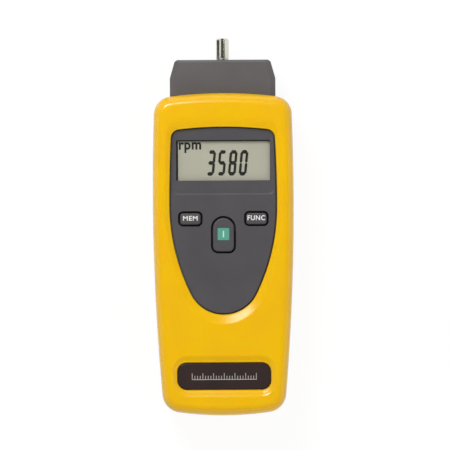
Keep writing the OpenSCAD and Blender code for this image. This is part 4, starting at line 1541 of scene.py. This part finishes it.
@dataclass
class Inside:
    """Board, display carrier, switches, optics and cells."""

    edge: float = 0.2

    def build(self) -> None:
        """Dresses what the case holds, with the cells and contacts that show when the door is off."""
        for node in ("cell_left", "cell_right"):
            refine(node, f"{node}_can", Slot.CELL_JACKET, self.edge)
        for node in ("spring_bottom", "spring_top"):
            refine(node, f"{node}_wire", Slot.STEEL)
        dress({Slot.STEEL: ("bridge_plate", "plus_plate", "minus_plate", "board_screws", "photo_sensor"),
               Slot.BRASS: ("laser_module",),
               Slot.BOARD: ("circuit_board",),
               Slot.DISPLAY_GREY: ("display_cell",),
               Slot.INNER_WHITE: ("display_frame", "mem_plunger", "func_plunger", "power_plunger"),
               Slot.STRIP_RUBBER: ("connector_strips",),
               Slot.INNER_BLACK: ("key_switches", "controller_chip")})


@dataclass(frozen=True)
class Lamp:
    """Soft square lamp that looks at the object, with its place and size in metres."""

    name: str
    place: tuple[float, float, float]
    size: float
    power: float
    mirrored: bool = True

    def build(self) -> None:
        """Hangs the lamp."""
        light = bpy.data.lights.new(self.name, "AREA")
        light.shape = "SQUARE"
        light.size = self.size
        light.energy = self.power
        made = add_object(self.name, light)
        made.location = self.place
        made.rotation_euler = (-Vector(self.place)).to_track_quat("-Z", "Y").to_euler()
        made.visible_camera = False
        made.visible_glossy = self.mirrored


@dataclass(frozen=True)
class Card:
    """Black or white card beside the shaft, which only shows in what is glossy.

    Its lower and upper edge are given across and up, in millimetres.
    """

    name: str
    low: tuple[float, float]
    high: tuple[float, float]
    glow: float
    from_y: float = 78.0
    to_y: float = 98.0

    def build(self) -> None:
        """Stands the card along the shaft."""
        s = Sculpt()
        across = Vector(self.high) - Vector(self.low)
        x, z = (Vector(self.low) + Vector(self.high)) / 2
        matrix = (Matrix.Translation((x, (self.from_y + self.to_y) / 2, z))
                  @ Matrix.Rotation(-math.atan2(across.y, across.x), 4, "Y")
                  @ Matrix.Diagonal((across.length, self.to_y - self.from_y, 1, 1)))
        bmesh.ops.create_grid(s.bm, x_segments=1, y_segments=1, size=0.5, matrix=matrix)
        mesh = s.mesh(self.name)
        material = bpy.data.materials.new(self.name)
        shader = Shader(material)
        shader.output(shader.glow(self.glow))
        mesh.materials.append(material)
        made = add_object(self.name, mesh)
        for ray in ("camera", "diffuse", "shadow", "transmission"):
            setattr(made, f"visible_{ray}", False)


@dataclass
class Studio:
    """Pale floor, soft lamps and a camera that looks straight down at the face.

    The floor's width and the camera's clipping are in metres, other sizes in millimetres.
    """

    frame_w: float = 208.5
    aim: tuple[float, float] = (0.74, 0.8)
    roll: float = -0.33
    distance: float = 6000.0
    sensor: float = 36.0
    clip: tuple[float, float] = (0.5, 20.0)
    floor_w: float = 6.0
    floor_z: float = -0.05
    floor_grey: float = 0.6
    ambient: float = 0.45
    ceiling: float = 0.05
    wall_top: tuple[float, float] = (0.1, 0.6)
    backdrop_share: float = 0.85
    backdrop_glow: float = 1.09
    lamps: tuple[Lamp, ...] = (
        Lamp("key_lamp", (-0.29, 0.62, 0.87), 0.38, 6.7),
        Lamp("fill_lamp", (0.45, -0.6, 0.8), 0.8, 2.4, mirrored=False),
    )
    cards: tuple[Card, ...] = (
        Card("black_card", (-35, 1), (-45, 44), 0.05),
        Card("white_strip", (-45, 47), (-12, 59), 1.0),
        Card("white_card", (4, 2), (36, 61), 1.0),
    )

    def build(self) -> None:
        """Sets up the floor, the world, the lamps, the cards and the camera."""
        self.lay_floor()
        self.light_world()
        for item in (*self.lamps, *self.cards):
            item.build()
        self.set_camera()
        bpy.context.scene.view_settings.view_transform = "Standard"

    @staticmethod
    def rays(shader: Shader) -> tuple[Socket, Socket]:
        """Finds what a ray is for.

        Args:
            shader: the tree that asks.

        Returns:
            Masks of the rays that show the backdrop itself, and of those that mirror it.
        """
        path = shader.node("ShaderNodeLightPath")
        camera, glossy, through = path.beside("Is Camera Ray", "Is Glossy Ray", "Is Transmission Ray")
        return camera | through | glossy, glossy

    def lay_floor(self) -> None:
        """Lays a white floor that keeps the object's shadow, and that is clear from below."""
        bm = bmesh.new()
        bmesh.ops.create_grid(bm, x_segments=1, y_segments=1, size=self.floor_w / 2,
                              matrix=Matrix.Translation((0, 0, self.floor_z * MM)))
        mesh = to_mesh(bm, "floor")
        material = bpy.data.materials.new("floor_white")
        shader = Shader(material)
        seen, _ = self.rays(shader)
        matt = shader.node("ShaderNodeBsdfDiffuse", inputs={"Color": (*[self.floor_grey] * 3, 1)})
        white = shader.node("ShaderNodeMixShader", inputs={
            0: seen * self.backdrop_share, 1: matt, 2: shader.glow(self.backdrop_glow)})
        underside = shader.node("ShaderNodeNewGeometry", output="Backfacing")
        clear = shader.node("ShaderNodeBsdfTransparent")
        shader.output(shader.node("ShaderNodeMixShader", inputs={0: underside, 1: white, 2: clear}))
        mesh.materials.append(material)
        add_object("floor", mesh)

    def light_world(self) -> None:
        """Gives an even soft light, with white behind what the camera sees."""
        world = bpy.data.worlds.new("studio")
        bpy.context.scene.world = world
        shader = Shader(world)
        seen, glossy = self.rays(shader)
        way = shader.node("ShaderNodeTexCoord", output="Generated")
        height = shader.node("ShaderNodeSeparateXYZ", inputs={0: way}, output="Z")
        overhead = glossy * height.ramp(*self.wall_top)
        level = self.ambient + seen * (1 - self.ambient) - overhead * (1 - self.ceiling)
        sky = shader.node("ShaderNodeBackground", inputs={"Color": WHITE, "Strength": level})
        shader.node("ShaderNodeOutputWorld", inputs={"Surface": sky})

    def set_camera(self) -> None:
        """Puts a long lens straight above the face."""
        data = bpy.data.cameras.new("camera")
        data.sensor_width = self.sensor
        data.lens = self.sensor * self.distance / self.frame_w
        data.clip_start, data.clip_end = self.clip
        camera = add_object("camera", data)
        face_z = Extent.of("front_shell").high.z
        camera.location = Vector((*self.aim, face_z + self.distance)) * MM
        camera.rotation_euler.z = math.radians(self.roll)
        bpy.context.scene.camera = camera


def main() -> None:
    """Builds the tachometer piece by piece."""
    logging.basicConfig(level=logging.INFO, format="%(message)s")
    Studio().build()
    panel, plate = FrontPanel(), NamePlate()
    keys = [
        Key("mem_key", Body.MEMORY, KeyMark.MEMORY, mark_w=6.8, mark_h=2.2, mark_up=0.3, corner_r=1.4),
        Key("func_key", Body.FUNCTION, KeyMark.FUNCTION, mark_w=8.2, mark_h=2.3, mark_up=0.4, corner_r=1.4),
        Key("power_key", Body.POWER, KeyMark.POWER, mark_w=0.6, mark_h=3.0, mark_up=0.3, corner_r=2.4),
    ]
    FrontShell(panel, plate).build()
    panel.build([key.hole() for key in keys])
    plate.build()
    for key in keys:
        key.build()
    Display().build(panel.window())
    RearCase().build()
    SensorHead().build()
    DriveTrain().build()
    Inside().build()


if __name__ == "__main__":
    main()
